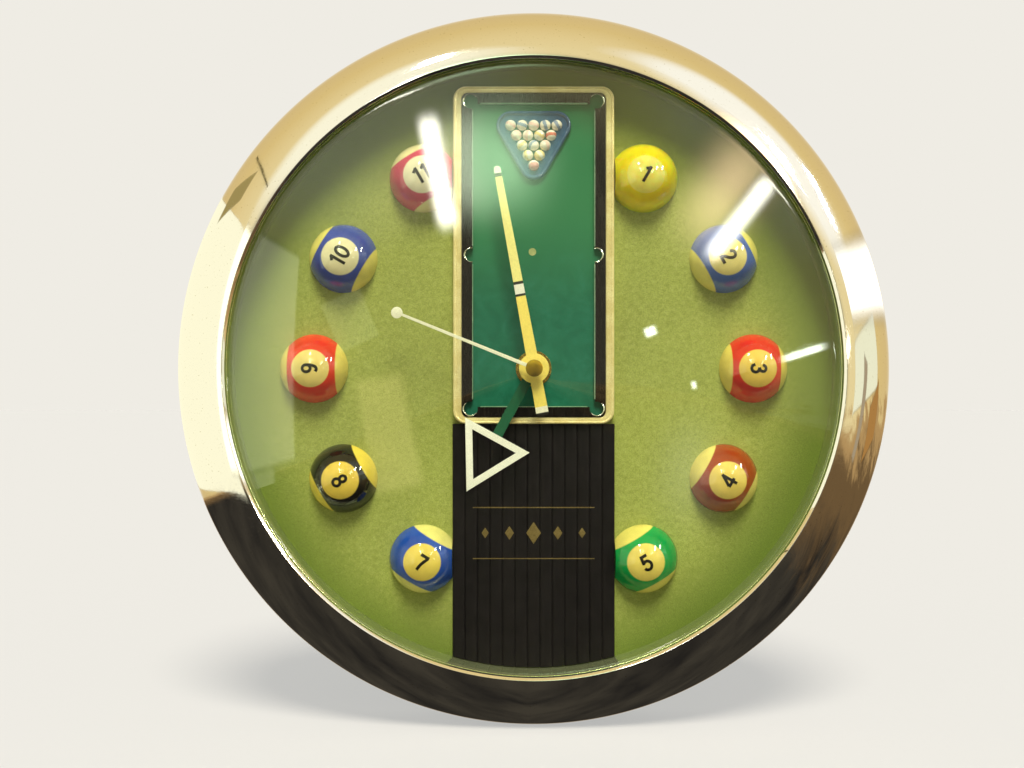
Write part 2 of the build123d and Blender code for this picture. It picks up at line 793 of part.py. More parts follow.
cap_seat = second_hand_depth + hand_thickness
cap_rise = cap_height - cap_edge
cap_dome_radius = (cap_radius ** 2 + cap_rise ** 2) / (2 * cap_rise)
with BuildPart() as second_cap:
    with BuildSketch(section()):
        with BuildLine():
            Polyline(
                (0, cap_seat + cap_height), (0, seconds_arbor_end + press_gap),
                (seconds_arbor_radius + press_gap, seconds_arbor_end + press_gap),
                (seconds_arbor_radius + press_gap, cap_seat - cap_tube_length),
                (cap_tube_radius, cap_seat - cap_tube_length), (cap_tube_radius, cap_seat),
                (cap_radius, cap_seat), (cap_radius, cap_seat + cap_edge))
            CenterArc(
                (0, cap_seat + cap_height - cap_dome_radius), cap_dome_radius,
                90 - degrees(asin(cap_radius / cap_dome_radius)), degrees(asin(cap_radius / cap_dome_radius)))
        make_face()
    revolve(axis=spindle())
finish(second_cap, "second_cap")

# Mounting: rubber washer behind the dial plate, washer and nut in front of the cloth panel
with BuildPart() as rubber_washer:
    with BuildSketch(layer(housing_front)):
        Circle(rubber_washer_radius)
        Circle(mounting_hole_radius, mode=Mode.SUBTRACT)
    extrude(amount=ledge_depth - housing_front)
finish(rubber_washer, "rubber_washer")

with BuildPart() as mounting_washer:
    with BuildSketch(layer(bed_front)):
        Circle(washer_radius)
        Circle(bushing_radius + fit_gap, mode=Mode.SUBTRACT)
    extrude(amount=washer_thickness)
finish(mounting_washer, "mounting_washer")

with BuildPart() as mounting_nut:
    with BuildSketch(layer(bed_front + washer_thickness)):
        RegularPolygon(nut_across_flats / 2, 6, major_radius=False)
        Circle(bushing_radius + thread_gap, mode=Mode.SUBTRACT)
    extrude(amount=nut_thickness)
finish(mounting_nut, "mounting_nut")

# Front housing of the movement: a tray, the bushing, the pillars and the battery bay
wall_inner_half = housing_half_width - housing_wall
inner_top = housing_top - housing_wall
inner_bottom = housing_bottom + housing_wall
battery_z = inner_bottom + battery_gap + battery_radius
battery_depth = front_wall_back - battery_gap - battery_radius
partition_bottom = battery_z + battery_radius + battery_gap
partition_top = partition_bottom + bay_wall
bridge_front = bridge_layer + bridge_thickness
core_back = stator_layer + stator_thickness
core_front = core_back + core_thickness
core_pegs = ((core_left + stator_leg / 2, core_z), (core_right - stator_leg / 2, core_z))
latch_centres = ((-1, upper_latch_z), (1, upper_latch_z), (-1, lower_latch_z), (1, lower_latch_z))
barb_depth = cover_front + latch_length - latch_barb_length
bushing_bore = hour_pipe_radius + hour_pipe_gap
board_front = board_layer + board_thickness
button_end = battery_centre_x + battery_body_length / 2 + battery_button_length
battery_foot = battery_centre_x - battery_body_length / 2
contact_x = button_end + battery_gap + contact_thickness / 2
spring_root = -wall_inner_half + contact_gap
with BuildPart() as movement_front:
    with BuildSketch(layer(housing_back)):
        with Locations((0, housing_centre_z)):
            RectangleRounded(2 * housing_half_width, housing_height, housing_corner_radius)
            RectangleRounded(
                2 * wall_inner_half, housing_height - 2 * housing_wall, housing_corner_radius - housing_wall,
                mode=Mode.SUBTRACT)
    extrude(amount=front_wall_back - housing_back)
    with BuildSketch(layer(front_wall_back)):
        with Locations((0, housing_centre_z)):
            RectangleRounded(2 * housing_half_width, housing_height, housing_corner_radius)
    extrude(amount=housing_wall)
    with BuildSketch(layer(housing_front)):
        Circle(bushing_radius)
    extrude(amount=bushing_end - housing_front)
    with BuildSketch(layer(cover_front)):
        with Locations((0, (partition_bottom + partition_top) / 2)):
            Rectangle(2 * wall_inner_half, bay_wall)
    extrude(amount=front_wall_back - cover_front)
    with BuildSketch(layer(bridge_front)):
        with Locations(*bridge_pegs):
            Circle(pillar_radius)
    extrude(amount=front_wall_back - bridge_front)
    with BuildSketch(layer(bridge_front - bridge_peg_length)):
        with Locations(*bridge_pegs):
            Circle(peg_radius)
    extrude(amount=bridge_peg_length)
    with BuildSketch(layer(core_front)):
        with Locations(*core_pegs):
            Circle(pillar_radius)
    extrude(amount=front_wall_back - core_front)
    with BuildSketch(layer(stator_layer)):
        with Locations(*core_pegs):
            Circle(peg_radius)
    extrude(amount=core_front - stator_layer)
    with BuildSketch(layer(cannon_layer - post_reach)):
        with Locations(minute_wheel_place):
            Circle(post_radius)
    extrude(amount=front_wall_back - cannon_layer + post_reach)
    with BuildSketch(layer(front_wall_back)):
        Circle(bushing_bore)
    extrude(amount=bushing_end - front_wall_back, mode=Mode.SUBTRACT)
    with BuildSketch(layer(front_wall_back)):
        with Locations(third_place, knob_place):
            Circle(arbor_radius + journal_gap)
    extrude(amount=journal_depth, mode=Mode.SUBTRACT)
    with BuildSketch(layer(barb_depth - latch_gap)):
        for side, height in latch_centres:
            with Locations((side * housing_half_width, height)):
                Rectangle(2 * (housing_wall + latch_slot_overlap), latch_width + 2 * latch_gap)
    extrude(amount=latch_barb_length + 2 * latch_gap, mode=Mode.SUBTRACT)
    with BuildSketch(layer(board_front - contact_gap)):
        for notch_x in (contact_x, spring_root + contact_thickness / 2):
            with Locations((notch_x, (partition_bottom + partition_top) / 2)):
                Rectangle(contact_thickness + 2 * contact_gap, 2 * bay_wall)
    extrude(amount=contact_width + 2 * contact_gap, mode=Mode.SUBTRACT)
finish(movement_front, "movement_front")

# Back cover of the movement: a plate with journals, latches and pegs for the circuit board
cover_bottom = partition_bottom
board_left = -(wall_inner_half - cover_gap - latch_thickness - board_gap)
cover_middle = (inner_top + cover_bottom) / 2
knob_hole_radius = knob_shaft_radius + fit_gap
board_middle_x = (board_left + board_right) / 2
board_pegs = ((board_middle_x, board_top - board_peg_inset), (board_middle_x, board_bottom + board_peg_inset))
arbors_on_cover = (third_place, fifth_place, rotor_place)
with BuildPart() as movement_back:
    with BuildSketch(layer(housing_back)):
        with Locations((0, cover_middle)):
            RectangleRounded(
                2 * (wall_inner_half - cover_gap), inner_top - cover_bottom - 2 * cover_gap,
                housing_corner_radius - housing_wall)
    extrude(amount=housing_wall)
    with BuildSketch(layer(cover_front)):
        for side, height in latch_centres:
            with Locations((side * (wall_inner_half - cover_gap - latch_thickness / 2), height)):
                Rectangle(latch_thickness, latch_width)
    extrude(amount=latch_length)
    with BuildSketch(layer(barb_depth)):
        for side, height in latch_centres:
            with Locations((side * (wall_inner_half - cover_gap + latch_barb / 2), height)):
                Rectangle(latch_barb, latch_width)
    extrude(amount=latch_barb_length)
    with BuildSketch(layer(cover_front)):
        with Locations(*board_pegs):
            Circle(pillar_radius)
    extrude(amount=board_layer - cover_front)
    with BuildSketch(layer(board_layer)):
        with Locations(*board_pegs):
            Circle(peg_radius)
    extrude(amount=board_thickness + board_peg_rise)
    with BuildSketch(layer(cover_front)):
        with Locations((0, 0), *arbors_on_cover):
            Circle(pillar_radius)
    extrude(amount=journal_depth)
    with BuildSketch(layer(cover_front)):
        with Locations(*arbors_on_cover):
            Circle(arbor_radius + journal_gap)
        Circle(seconds_arbor_radius + journal_gap)
    extrude(amount=journal_depth, mode=Mode.SUBTRACT)
    with BuildSketch(layer(housing_back)):
        with Locations(knob_place):
            Circle(knob_hole_radius)
    extrude(amount=housing_wall, mode=Mode.SUBTRACT)
finish(movement_back, "movement_back")

# Middle plate: the bridge that carries the front journals of the fast wheels
with BuildPart() as middle_plate:
    with BuildSketch(layer(bridge_layer)):
        Polygon(*bridge_outline, align=None)
        with Locations(*bridge_pegs):
            Circle(peg_radius + peg_gap, mode=Mode.SUBTRACT)
        with Locations(third_place, fifth_place, rotor_place):
            Circle(arbor_radius + journal_gap, mode=Mode.SUBTRACT)
        Circle(seconds_arbor_radius + bridge_hole_gap, mode=Mode.SUBTRACT)
    extrude(amount=bridge_thickness)
finish(middle_plate, "middle_plate")

# Train wheels
cover_journal = cover_front + end_gap
with BuildPart() as second_wheel:
    with BuildSketch(layer(cover_journal)):
        Circle(seconds_arbor_radius)
    extrude(amount=seconds_arbor_end - cover_journal)
    with BuildSketch(layer(second_wheel_layer)):
        Polygon(*tooth_outline(second_wheel_teeth, second_wheel_module, second_wheel_turn), align=None)
        spoke_holes(second_wheel_teeth, second_wheel_module, 4)
    extrude(amount=wheel_thickness)
    with BuildSketch(layer(second_wheel_layer + wheel_thickness)):
        Polygon(*tooth_outline(second_pinion_teeth, third_wheel_module, second_pinion_turn), align=None)
    extrude(amount=bridge_layer - second_wheel_layer - wheel_thickness - layer_gap)
finish(second_wheel, "second_wheel")

with BuildPart() as third_wheel:
    with BuildSketch(layer(cover_journal)):
        with Locations(third_place):
            Circle(arbor_radius)
    extrude(amount=front_wall_back + journal_depth / 2 - cover_journal)
    with BuildSketch(layer(third_wheel_layer)):
        with Locations(third_place):
            Polygon(*tooth_outline(third_wheel_teeth, third_wheel_module, third_wheel_turn), align=None)
            spoke_holes(third_wheel_teeth, third_wheel_module, 5)
    extrude(amount=wheel_thickness)
    with BuildSketch(layer(bridge_front + end_gap)):
        with Locations(third_place):
            Polygon(*tooth_outline(third_pinion_teeth, centre_wheel_module, third_pinion_turn), align=None)
    extrude(amount=centre_wheel_layer + wheel_thickness + pinion_overlap - bridge_front - end_gap)
finish(third_wheel, "third_wheel")

with BuildPart() as fifth_wheel:
    with BuildSketch(layer(cover_journal)):
        with Locations(fifth_place):
            Circle(arbor_radius)
    extrude(amount=bridge_front - cover_journal)
    with BuildSketch(layer(fifth_wheel_layer)):
        with Locations(fifth_place):
            Polygon(*tooth_outline(fifth_wheel_teeth, fifth_wheel_module, fifth_wheel_turn), align=None)
            spoke_holes(fifth_wheel_teeth, fifth_wheel_module, 4)
    extrude(amount=thin_wheel)
    with BuildSketch(layer(fifth_wheel_layer + thin_wheel)):
        with Locations(fifth_place):
            Polygon(*tooth_outline(fifth_pinion_teeth, second_wheel_module, fifth_pinion_turn), align=None)
    extrude(amount=second_wheel_layer + wheel_thickness + layer_gap - fifth_wheel_layer - thin_wheel)
finish(fifth_wheel, "fifth_wheel")

with BuildPart() as rotor:
    with BuildSketch(layer(cover_journal)):
        with Locations(rotor_place):
            Circle(arbor_radius)
    extrude(amount=bridge_front - cover_journal)
    with BuildSketch(layer(fifth_wheel_layer - layer_gap)):
        with Locations(rotor_place):
            Polygon(*tooth_outline(rotor_pinion_teeth, fifth_wheel_module, rotor_pinion_turn), align=None)
    extrude(amount=thin_wheel + 2 * layer_gap)
    with BuildSketch(layer(stator_layer + stator_thickness / 2 - magnet_thickness / 2)):
        with Locations(rotor_place):
            Circle(magnet_radius)
    extrude(amount=magnet_thickness)
finish(rotor, "rotor")

with BuildPart() as centre_wheel:
    with BuildSketch(layer(centre_wheel_layer)):
        Polygon(*tooth_outline(centre_wheel_teeth, centre_wheel_module, centre_wheel_turn), align=None)
        spoke_holes(centre_wheel_teeth, centre_wheel_module, 5)
    extrude(amount=wheel_thickness)
    with BuildSketch(layer(centre_wheel_layer)):
        Circle(minute_pipe_radius)
    extrude(amount=minute_pipe_end - centre_wheel_layer)
    with BuildSketch(layer(centre_wheel_layer)):
        Circle(minute_pipe_bore)
    extrude(amount=minute_pipe_end - centre_wheel_layer, mode=Mode.SUBTRACT)
finish(centre_wheel, "centre_wheel")

with BuildPart() as cannon_pinion:
    with BuildSketch(layer(cannon_layer)):
        Polygon(*tooth_outline(cannon_pinion_teeth, motion_module, cannon_turn), align=None)
        Circle(minute_pipe_radius + press_gap, mode=Mode.SUBTRACT)
    extrude(amount=motion_wheel)
    with BuildSketch(layer(centre_wheel_layer + wheel_thickness)):
        Circle(minute_pipe_radius + cannon_wall)
        Circle(minute_pipe_radius + press_gap, mode=Mode.SUBTRACT)
    extrude(amount=cannon_layer - centre_wheel_layer - wheel_thickness)
finish(cannon_pinion, "cannon_pinion")

with BuildPart() as minute_wheel:
    with BuildSketch(layer(cannon_layer)):
        with Locations(minute_wheel_place):
            Polygon(*tooth_outline(minute_wheel_teeth, motion_module, minute_wheel_turn), align=None)
    extrude(amount=motion_wheel)
    with BuildSketch(layer(cannon_layer + motion_wheel)):
        with Locations(minute_wheel_place):
            Polygon(*tooth_outline(minute_pinion_teeth, hour_wheel_module, minute_pinion_turn), align=None)
    extrude(amount=front_wall_back - cannon_layer - motion_wheel - end_gap)
    with BuildSketch(layer(cannon_layer)):
        with Locations(minute_wheel_place):
            Circle(post_radius + journal_gap)
    extrude(amount=front_wall_back - cannon_layer, mode=Mode.SUBTRACT)
finish(minute_wheel, "minute_wheel")

with BuildPart() as hour_wheel:
    with BuildSketch(layer(hour_wheel_layer)):
        Polygon(*tooth_outline(hour_wheel_teeth, hour_wheel_module, hour_wheel_turn), align=None)
    extrude(amount=motion_wheel)
    with BuildSketch(layer(hour_wheel_layer)):
        Circle(hour_pipe_radius)
    extrude(amount=hour_pipe_end - hour_wheel_layer)
    with BuildSketch(layer(hour_wheel_layer)):
        Circle(hour_pipe_bore)
    extrude(amount=hour_pipe_end - hour_wheel_layer, mode=Mode.SUBTRACT)
finish(hour_wheel, "hour_wheel")

# Setting knob: a notched disc behind the cover, its shaft and its pinion
knob_back = housing_back - knob_gap - knob_thickness
with BuildPart() as setting_knob:
    with BuildSketch(layer(knob_back)):
        with Locations(knob_place):
            Circle(knob_radius)
            with PolarLocations(knob_radius, knob_notches):
                Circle(knob_notch_radius, mode=Mode.SUBTRACT)
    extrude(amount=knob_thickness)
    with BuildSketch(layer(knob_back + knob_thickness)):
        with Locations(knob_place):
            Circle(knob_shaft_radius)
    extrude(amount=front_wall_back - knob_gap - knob_back - knob_thickness)
    with BuildSketch(layer(cannon_layer)):
        with Locations(knob_place):
            Polygon(*tooth_outline(setting_pinion_teeth, motion_module, setting_pinion_turn), align=None)
    extrude(amount=motion_wheel)
    with BuildSketch(layer(front_wall_back - knob_gap)):
        with Locations(knob_place):
            Circle(arbor_radius)
    extrude(amount=knob_gap + journal_depth / 2)
finish(setting_knob, "setting_knob")

# Motor: stator plate, coil core, bobbin and winding
stator_hole = magnet_radius + stator_gap
stator_bar_z = rotor_place[1] + stator_bar_rise
core_left_x = core_pegs[0][0]
core_right_x = core_pegs[1][0]
with BuildPart() as stator_plate:
    with BuildSketch(layer(stator_layer)):
        with Locations((core_left_x, (core_z + stator_bar_z) / 2)):
            Rectangle(stator_leg, core_z - stator_bar_z + stator_leg)
        with Locations(((core_left_x + rotor_place[0]) / 2, stator_bar_z)):
            Rectangle(rotor_place[0] - core_left_x, stator_leg)
        with Locations(((core_right_x + rotor_place[0]) / 2, core_z)):
            Rectangle(rotor_place[0] - core_right_x + stator_leg, stator_leg)
        with Locations((rotor_place[0], (core_z + rotor_place[1]) / 2)):
            Rectangle(stator_leg, core_z - rotor_place[1])
        with Locations(rotor_place):
            Circle(stator_hole + stator_ring)
            Circle(stator_hole, mode=Mode.SUBTRACT)
        with Locations(*core_pegs):
            Circle(peg_radius + peg_gap, mode=Mode.SUBTRACT)
    extrude(amount=stator_thickness)
finish(stator_plate, "stator_plate")

core_middle_x = (core_left + core_right) / 2
with BuildPart() as coil_core:
    with BuildSketch(layer(core_back)):
        with Locations((core_middle_x, core_z)):
            Rectangle(core_length, core_height)
        with Locations(*core_pegs):
            Circle(peg_radius + peg_gap, mode=Mode.SUBTRACT)
    extrude(amount=core_thickness)
finish(coil_core, "coil_core")

coil_depth = core_back + core_thickness / 2
coil_start = Plane(origin=(core_middle_x - bobbin_length / 2, -coil_depth, core_z), x_dir=(0, 0, 1), z_dir=(1, 0, 0))
with BuildPart() as coil_bobbin:
    with BuildSketch(coil_start):
        Rectangle(2 * bobbin_half, 2 * bobbin_half)
    extrude(amount=bobbin_flange)
    with BuildSketch(coil_start.offset(bobbin_length - bobbin_flange)):
        Rectangle(2 * bobbin_half, 2 * bobbin_half)
    extrude(amount=bobbin_flange)
    with BuildSketch(coil_start):
        Rectangle(core_height + 2 * bobbin_wall, core_thickness + 2 * bobbin_wall)
    extrude(amount=bobbin_length)
    with BuildSketch(coil_start):
        Rectangle(core_height + 2 * fit_gap, core_thickness + 2 * fit_gap)
    extrude(amount=bobbin_length, mode=Mode.SUBTRACT)
finish(coil_bobbin, "coil_bobbin")

with BuildPart() as coil_winding:
    with BuildSketch(coil_start.offset(bobbin_flange)):
        Circle(winding_radius)
        Rectangle(core_height + 2 * bobbin_wall, core_thickness + 2 * bobbin_wall, mode=Mode.SUBTRACT)
    extrude(amount=bobbin_length - 2 * bobbin_flange)
finish(coil_winding, "coil_winding")

# Circuit board with its chip and crystal
with BuildPart() as circuit_board:
    with BuildSketch(layer(board_layer)):
        with Locations((board_middle_x, (board_top + board_bottom) / 2)):
            Rectangle(board_right - board_left, board_top - board_bottom)
        with Locations(*board_pegs):
            Circle(peg_radius + peg_gap, mode=Mode.SUBTRACT)
    extrude(amount=board_thickness)
finish(circuit_board, "circuit_board")

chip_dome_radius = (chip_radius ** 2 + chip_height ** 2) / (2 * chip_height)
with BuildPart() as driver_chip:
    with BuildSketch(section(board_middle_x, chip_z)):
        with BuildLine():
            Polyline((0, board_front + chip_height), (0, board_front), (chip_radius, board_front))
            CenterArc(
                (0, board_front + chip_height - chip_dome_radius), chip_dome_radius,
                90 - degrees(asin(chip_radius / chip_dome_radius)),
                degrees(asin(chip_radius / chip_dome_radius)))
        make_face()
    revolve(axis=spindle(board_middle_x, chip_z))
finish(driver_chip, "driver_chip")

crystal_end = Plane(
    origin=(board_middle_x, -(board_front + crystal_radius), crystal_z), x_dir=(1, 0, 0), z_dir=(0, 0, -1))
with BuildPart() as quartz_crystal:
    with BuildSketch(crystal_end):
        Circle(crystal_radius)
    extrude(amount=crystal_length)
finish(quartz_crystal, "quartz_crystal")

# Battery and its contacts
battery_end = Plane(
    origin=(battery_centre_x - battery_body_length / 2, -battery_depth, battery_z), x_dir=(0, 0, 1), z_dir=(1, 0, 0))
with BuildPart() as battery:
    with BuildSketch(battery_end):
        Circle(battery_radius)
    extrude(amount=battery_body_length)
    chamfer(battery.edges().filter_by(GeomType.CIRCLE), battery_edge)
    with BuildSketch(battery_end.offset(battery_body_length)):
        Circle(battery_button_radius)
    extrude(amount=battery_button_length)
finish(battery, "battery")

strip_z = partition_top + contact_gap + contact_thickness / 2
strip_end_x = board_right - contact_reach / 2
contact_low_z = battery_z - battery_radius + contact_reach
with BuildPart() as contact_positive:
    with BuildSketch(layer(board_front)):
        with BuildLine():
            plus_line = Polyline(
                (contact_x, contact_low_z), (contact_x, strip_z), (strip_end_x, strip_z),
                (strip_end_x, board_bottom + contact_reach))
        trace(plus_line, line_width=contact_thickness)
    extrude(amount=contact_width)
finish(contact_positive, "contact_positive")

minus_x = spring_root + contact_thickness / 2
spring_crest = battery_foot - battery_gap - contact_thickness
spring_rise = (spring_crest - minus_x) / 2
with BuildPart() as contact_negative:
    with BuildSketch(layer(board_front)):
        with BuildLine():
            minus_line = Polyline(
                (board_left + contact_reach, board_bottom + contact_reach),
                (minus_x, board_bottom + contact_reach), (minus_x, contact_low_z),
                (minus_x + spring_rise, contact_low_z), (spring_crest, battery_z),
                (minus_x + spring_rise, battery_z + battery_radius / 2))
        trace(minus_line, line_width=contact_thickness)
    extrude(amount=contact_width)
finish(contact_negative, "contact_negative")

os.makedirs("parts", exist_ok=True)
for solid in finished:
    export_step(solid, f"parts/{solid.label}.step")
print(len(finished), "nodes")
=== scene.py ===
from math import acos, asin, cos, degrees, hypot, pi, radians, sin, sqrt
from random import Random

import bmesh
import bpy
from mathutils import Matrix, Vector, noise


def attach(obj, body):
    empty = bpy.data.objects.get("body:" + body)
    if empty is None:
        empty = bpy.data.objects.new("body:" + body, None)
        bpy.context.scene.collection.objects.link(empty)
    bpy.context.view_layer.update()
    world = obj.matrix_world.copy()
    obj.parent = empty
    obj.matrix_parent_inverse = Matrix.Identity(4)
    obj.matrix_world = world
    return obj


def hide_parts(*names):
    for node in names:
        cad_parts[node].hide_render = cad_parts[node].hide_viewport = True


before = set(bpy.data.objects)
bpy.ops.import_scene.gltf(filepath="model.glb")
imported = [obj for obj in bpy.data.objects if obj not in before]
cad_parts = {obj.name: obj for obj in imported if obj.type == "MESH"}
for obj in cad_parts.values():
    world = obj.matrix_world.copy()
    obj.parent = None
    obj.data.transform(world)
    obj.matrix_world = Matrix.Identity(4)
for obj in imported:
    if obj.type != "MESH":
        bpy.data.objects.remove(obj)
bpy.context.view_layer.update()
print("frame loaded:", len(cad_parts), "nodes")

mm = 0.001  # every size below is in millimetres, except the cards' in metres
scene = bpy.context.scene


# Tools

def linearTone(hexColour):
    channels = [int(hexColour[i:i + 2], 16) / 255 for i in (1, 3, 5)]
    return tuple(c / 12.92 if c <= 0.04045 else ((c + 0.055) / 1.055) ** 2.4 for c in channels) + (1.0,)


def setSockets(node, sockets):
    # a list fills the first sockets and a dictionary names them; hex colours are turned to linear, outputs are linked
    for key, value in sockets.items() if isinstance(sockets, dict) else enumerate(sockets):
        if isinstance(value, bpy.types.NodeSocket):
            node.id_data.links.new(value, node.inputs[key])
        else:
            node.inputs[key].default_value = linearTone(value) if isinstance(value, str) else value


def addNode(tree, kind, sockets=(), output=0, **settings):
    # adds a node with its settings and links, and gives one of its outputs
    node = tree.nodes.new("ShaderNode" + kind)
    for key, value in settings.items():
        setattr(node, key, value)
    setSockets(node, sockets)
    return node.outputs[output]


def newMaterial(name):
    material = bpy.data.materials.new(name)
    material.use_nodes = True
    return material, material.node_tree, material.node_tree.nodes["Principled BSDF"]


def objectMillimetres(tree):
    place = addNode(tree, "TexCoord", output="Object")
    return addNode(tree, "VectorMath", {0: place, "Scale": 1 / mm}, operation="SCALE")


def distanceAcross(tree, place, across=(1, 1, 0)):
    # distance from the axis that the two named directions are across
    flat = addNode(tree, "VectorMath", [place, across], operation="MULTIPLY")
    return addNode(tree, "VectorMath", [flat], "Value", operation="LENGTH")


def setStops(ramp, stops):
    # stops are (position, tone) in rising order
    elements = ramp.node.color_ramp.elements
    for i, (position, tone) in enumerate(stops):
        stop = elements[i] if i < 2 else elements.new(1.0)
        stop.position, stop.color = position, linearTone(tone)


def dialPlace(angle=0.0, radius=0.0, depth=0.0):
    # local Z points at the viewer and local Y outwards along a clock angle
    out = Vector((sin(radians(angle)), 0, cos(radians(angle))))
    front = Vector((0, -1, 0))
    place = Matrix((out.cross(front), out, front)).transposed().to_4x4()
    place.translation = (out * radius + front * depth) * mm
    return place


def roundCorners(points, steps=5):
    # points are (x, y) or (x, y, corner radius) around a closed outline
    rounded = []
    for i, point in enumerate(points):
        here = Vector(point[:2])
        radius = point[2] if len(point) > 2 else 0
        if radius <= 0:
            rounded.append(tuple(here))
            continue
        before = Vector(points[i - 1][:2]) - here
        after = Vector(points[(i + 1) % len(points)][:2]) - here
        half = before.angle(after) / 2
        run = min(radius / max(1e-6, abs(sin(half) / cos(half))), before.length * 0.49, after.length * 0.49)
        start, end = here + before.normalized() * run, here + after.normalized() * run
        for t in (k / steps for k in range(steps + 1)):
            rounded.append(tuple((1 - t) ** 2 * start + 2 * t * (1 - t) * here + t * t * end))
    return rounded


def arcPoints(centre, radius, first, last, steps):
    # angles in degrees, measured from the second axis towards the first
    turns = (radians(first + (last - first) * k / steps) for k in range(steps + 1))
    return [(centre[0] + radius * sin(turn), centre[1] + radius * cos(turn)) for turn in turns]


def circleOutline(radius, steps=48):
    return arcPoints((0, 0), radius, 0, 360, steps)[:-1]


def rectangle(left, right, low, high, depth=0.0):
    return [(left, low, depth), (right, low, depth), (right, high, depth), (left, high, depth)]


def shadeSmooth(mesh, sharpAngle):
    for face in mesh.polygons:
        face.use_smooth = True
    mesh.set_sharp_from_angle(angle=radians(sharpAngle))


def placeMesh(name, mesh, place=None, sharpAngle=35.0):
    # welds what coincides, turns the faces outwards, and shades smooth up to the sharp angle
    work = bmesh.new()
    work.from_mesh(mesh)
    bmesh.ops.remove_doubles(work, verts=work.verts, dist=1e-7)
    bmesh.ops.dissolve_degenerate(work, edges=work.edges, dist=1e-7)
    bmesh.ops.recalc_face_normals(work, faces=work.faces)
    work.to_mesh(mesh)
    work.free()
    shadeSmooth(mesh, sharpAngle)
    piece = bpy.data.objects.new(name, mesh)
    piece.matrix_world = place or Matrix.Identity(4)
    scene.collection.objects.link(piece)
    return piece


def meshObject(name, vertices, faces, place=None, sharpAngle=35.0):
    mesh = bpy.data.meshes.new(name)
    mesh.from_pydata([tuple(c * mm for c in v) for v in vertices], [], faces)
    return placeMesh(name, mesh, place, sharpAngle)


def latheObject(name, profile, place=None, segments=96, sharpAngle=35.0):
    # the closed profile is (radius, height) and turns about local Z
    vertices, faces, rows = [], [], []
    for radius, height in profile:
        if radius < 1e-6:
            rows.append([len(vertices)] * segments)
            vertices.append((0, 0, height))
            continue
        rows.append(list(range(len(vertices), len(vertices) + segments)))
        for turn in (2 * pi * k / segments for k in range(segments)):
            vertices.append((radius * cos(turn), radius * sin(turn), height))
    for i, row in enumerate(rows):
        following = rows[(i + 1) % len(rows)]
        for k in range(segments):
            after = (k + 1) % segments
            unique = list(dict.fromkeys([row[k], row[after], following[after], following[k]]))
            if len(unique) > 2:
                faces.append(unique)
    return meshObject(name, vertices, faces, place, sharpAngle)


def sweepObject(name, solids, place=None, sharpAngle=35.0):
    # each solid is (rings of (x, y, z) that follow each other, True where the last ring joins the first)
    vertices, faces = [], []
    for rings, joined in solids:
        first, count = len(vertices), len(rings[0])
        vertices += [point for ring in rings for point in ring]
        for i in range(len(rings) if joined else len(rings) - 1):
            a, b = first + i * count, first + (i + 1) % len(rings) * count
            faces += [[a + k, a + (k + 1) % count, b + (k + 1) % count, b + k] for k in range(count)]
        if not joined:
            last = len(vertices) - count
            faces += [list(range(first, first + count)), list(range(last, last + count))]
    return meshObject(name, vertices, faces, place, sharpAngle)


def plateObject(name, outlines, back, front, place=None, edge=0.08):
    # flat stock with softly rounded edges; an outline inside another is a hole
    flat = bpy.data.curves.new(name, "CURVE")
    flat.dimensions, flat.fill_mode, flat.bevel_resolution = "2D", "BOTH", 2
    flat.extrude, flat.bevel_depth, flat.offset = ((front - back) / 2 - edge) * mm, edge * mm, -edge * mm
    for outline in outlines:
        spline = flat.splines.new("POLY")
        spline.points.add(len(outline) - 1)
        for point, (x, y) in zip(spline.points, outline):
            point.co = (x * mm, y * mm, 0, 1)
        spline.use_cyclic_u = True
    source = bpy.data.objects.new(name + "Source", flat)
    scene.collection.objects.link(source)
    bpy.context.view_layer.update()
    mesh = bpy.data.meshes.new_from_object(source.evaluated_get(bpy.context.evaluated_depsgraph_get()))
    bpy.data.objects.remove(source)
    mesh.name = name
    return placeMesh(name, mesh, (place or dialPlace()) @ Matrix.Translation((0, 0, (front + back) / 2 * mm)))


def settle(piece, body, materials, slotName, *replaced):
    piece.data.materials.clear()
    for material in materials if isinstance(materials, list) else [materials]:
        piece.data.materials.append(material)
    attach(piece, body)
    if replaced:
        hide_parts(*replaced)
    return piece


def plainStock(name, facts):
    # a worked surface: two tones at two grain sizes, uneven roughness, a fine relief and eased edges
    material, tree, shader = newMaterial(name)
    grain, place = facts["grainMm"], objectMillimetres(tree)
    if "stretch" in facts:  # a drawn or brushed grain is longer one way
        place = addNode(tree, "VectorMath", [place, facts["stretch"]], operation="MULTIPLY")
    fine = addNode(tree, "TexNoise", {"Vector": place, "Scale": 1 / grain, "Detail": 5.0, "Roughness": 0.6})
    broad = addNode(tree, "TexNoise", {"Vector": place, "Scale": 1 / (14 * grain), "Detail": 3.0})
    share = addNode(tree, "Math", [fine, broad], operation="MULTIPLY")
    spread = addNode(tree, "MapRange", [share, 0.12, 0.40])
    colour = addNode(tree, "Mix", {0: spread, 6: facts["dark"], 7: facts["light"]}, 2, data_type="RGBA")
    rough = addNode(tree, "MapRange", [fine, 0.3, 0.7, *facts["rough"]])
    edges = addNode(tree, "Bevel", [facts.get("edgeMm", 0.2) * mm], samples=4)
    relief = addNode(tree, "Bump", {
        "Strength": facts.get("relief", 0.3), "Distance": facts.get("reliefMm", 0.03) * mm, "Height": fine,
        "Normal": edges})
    setSockets(shader, {
        "Base Color": colour, "Roughness": rough, "Normal": relief, "Metallic": facts.get("metallic", 0.0),
        "Specular IOR Level": facts.get("gloss", 0.5), "Coat Weight": facts.get("coat", 0.0), "Coat Roughness": 0.08})
    return material


# Camera, as the photograph was taken: level and straight at the dial

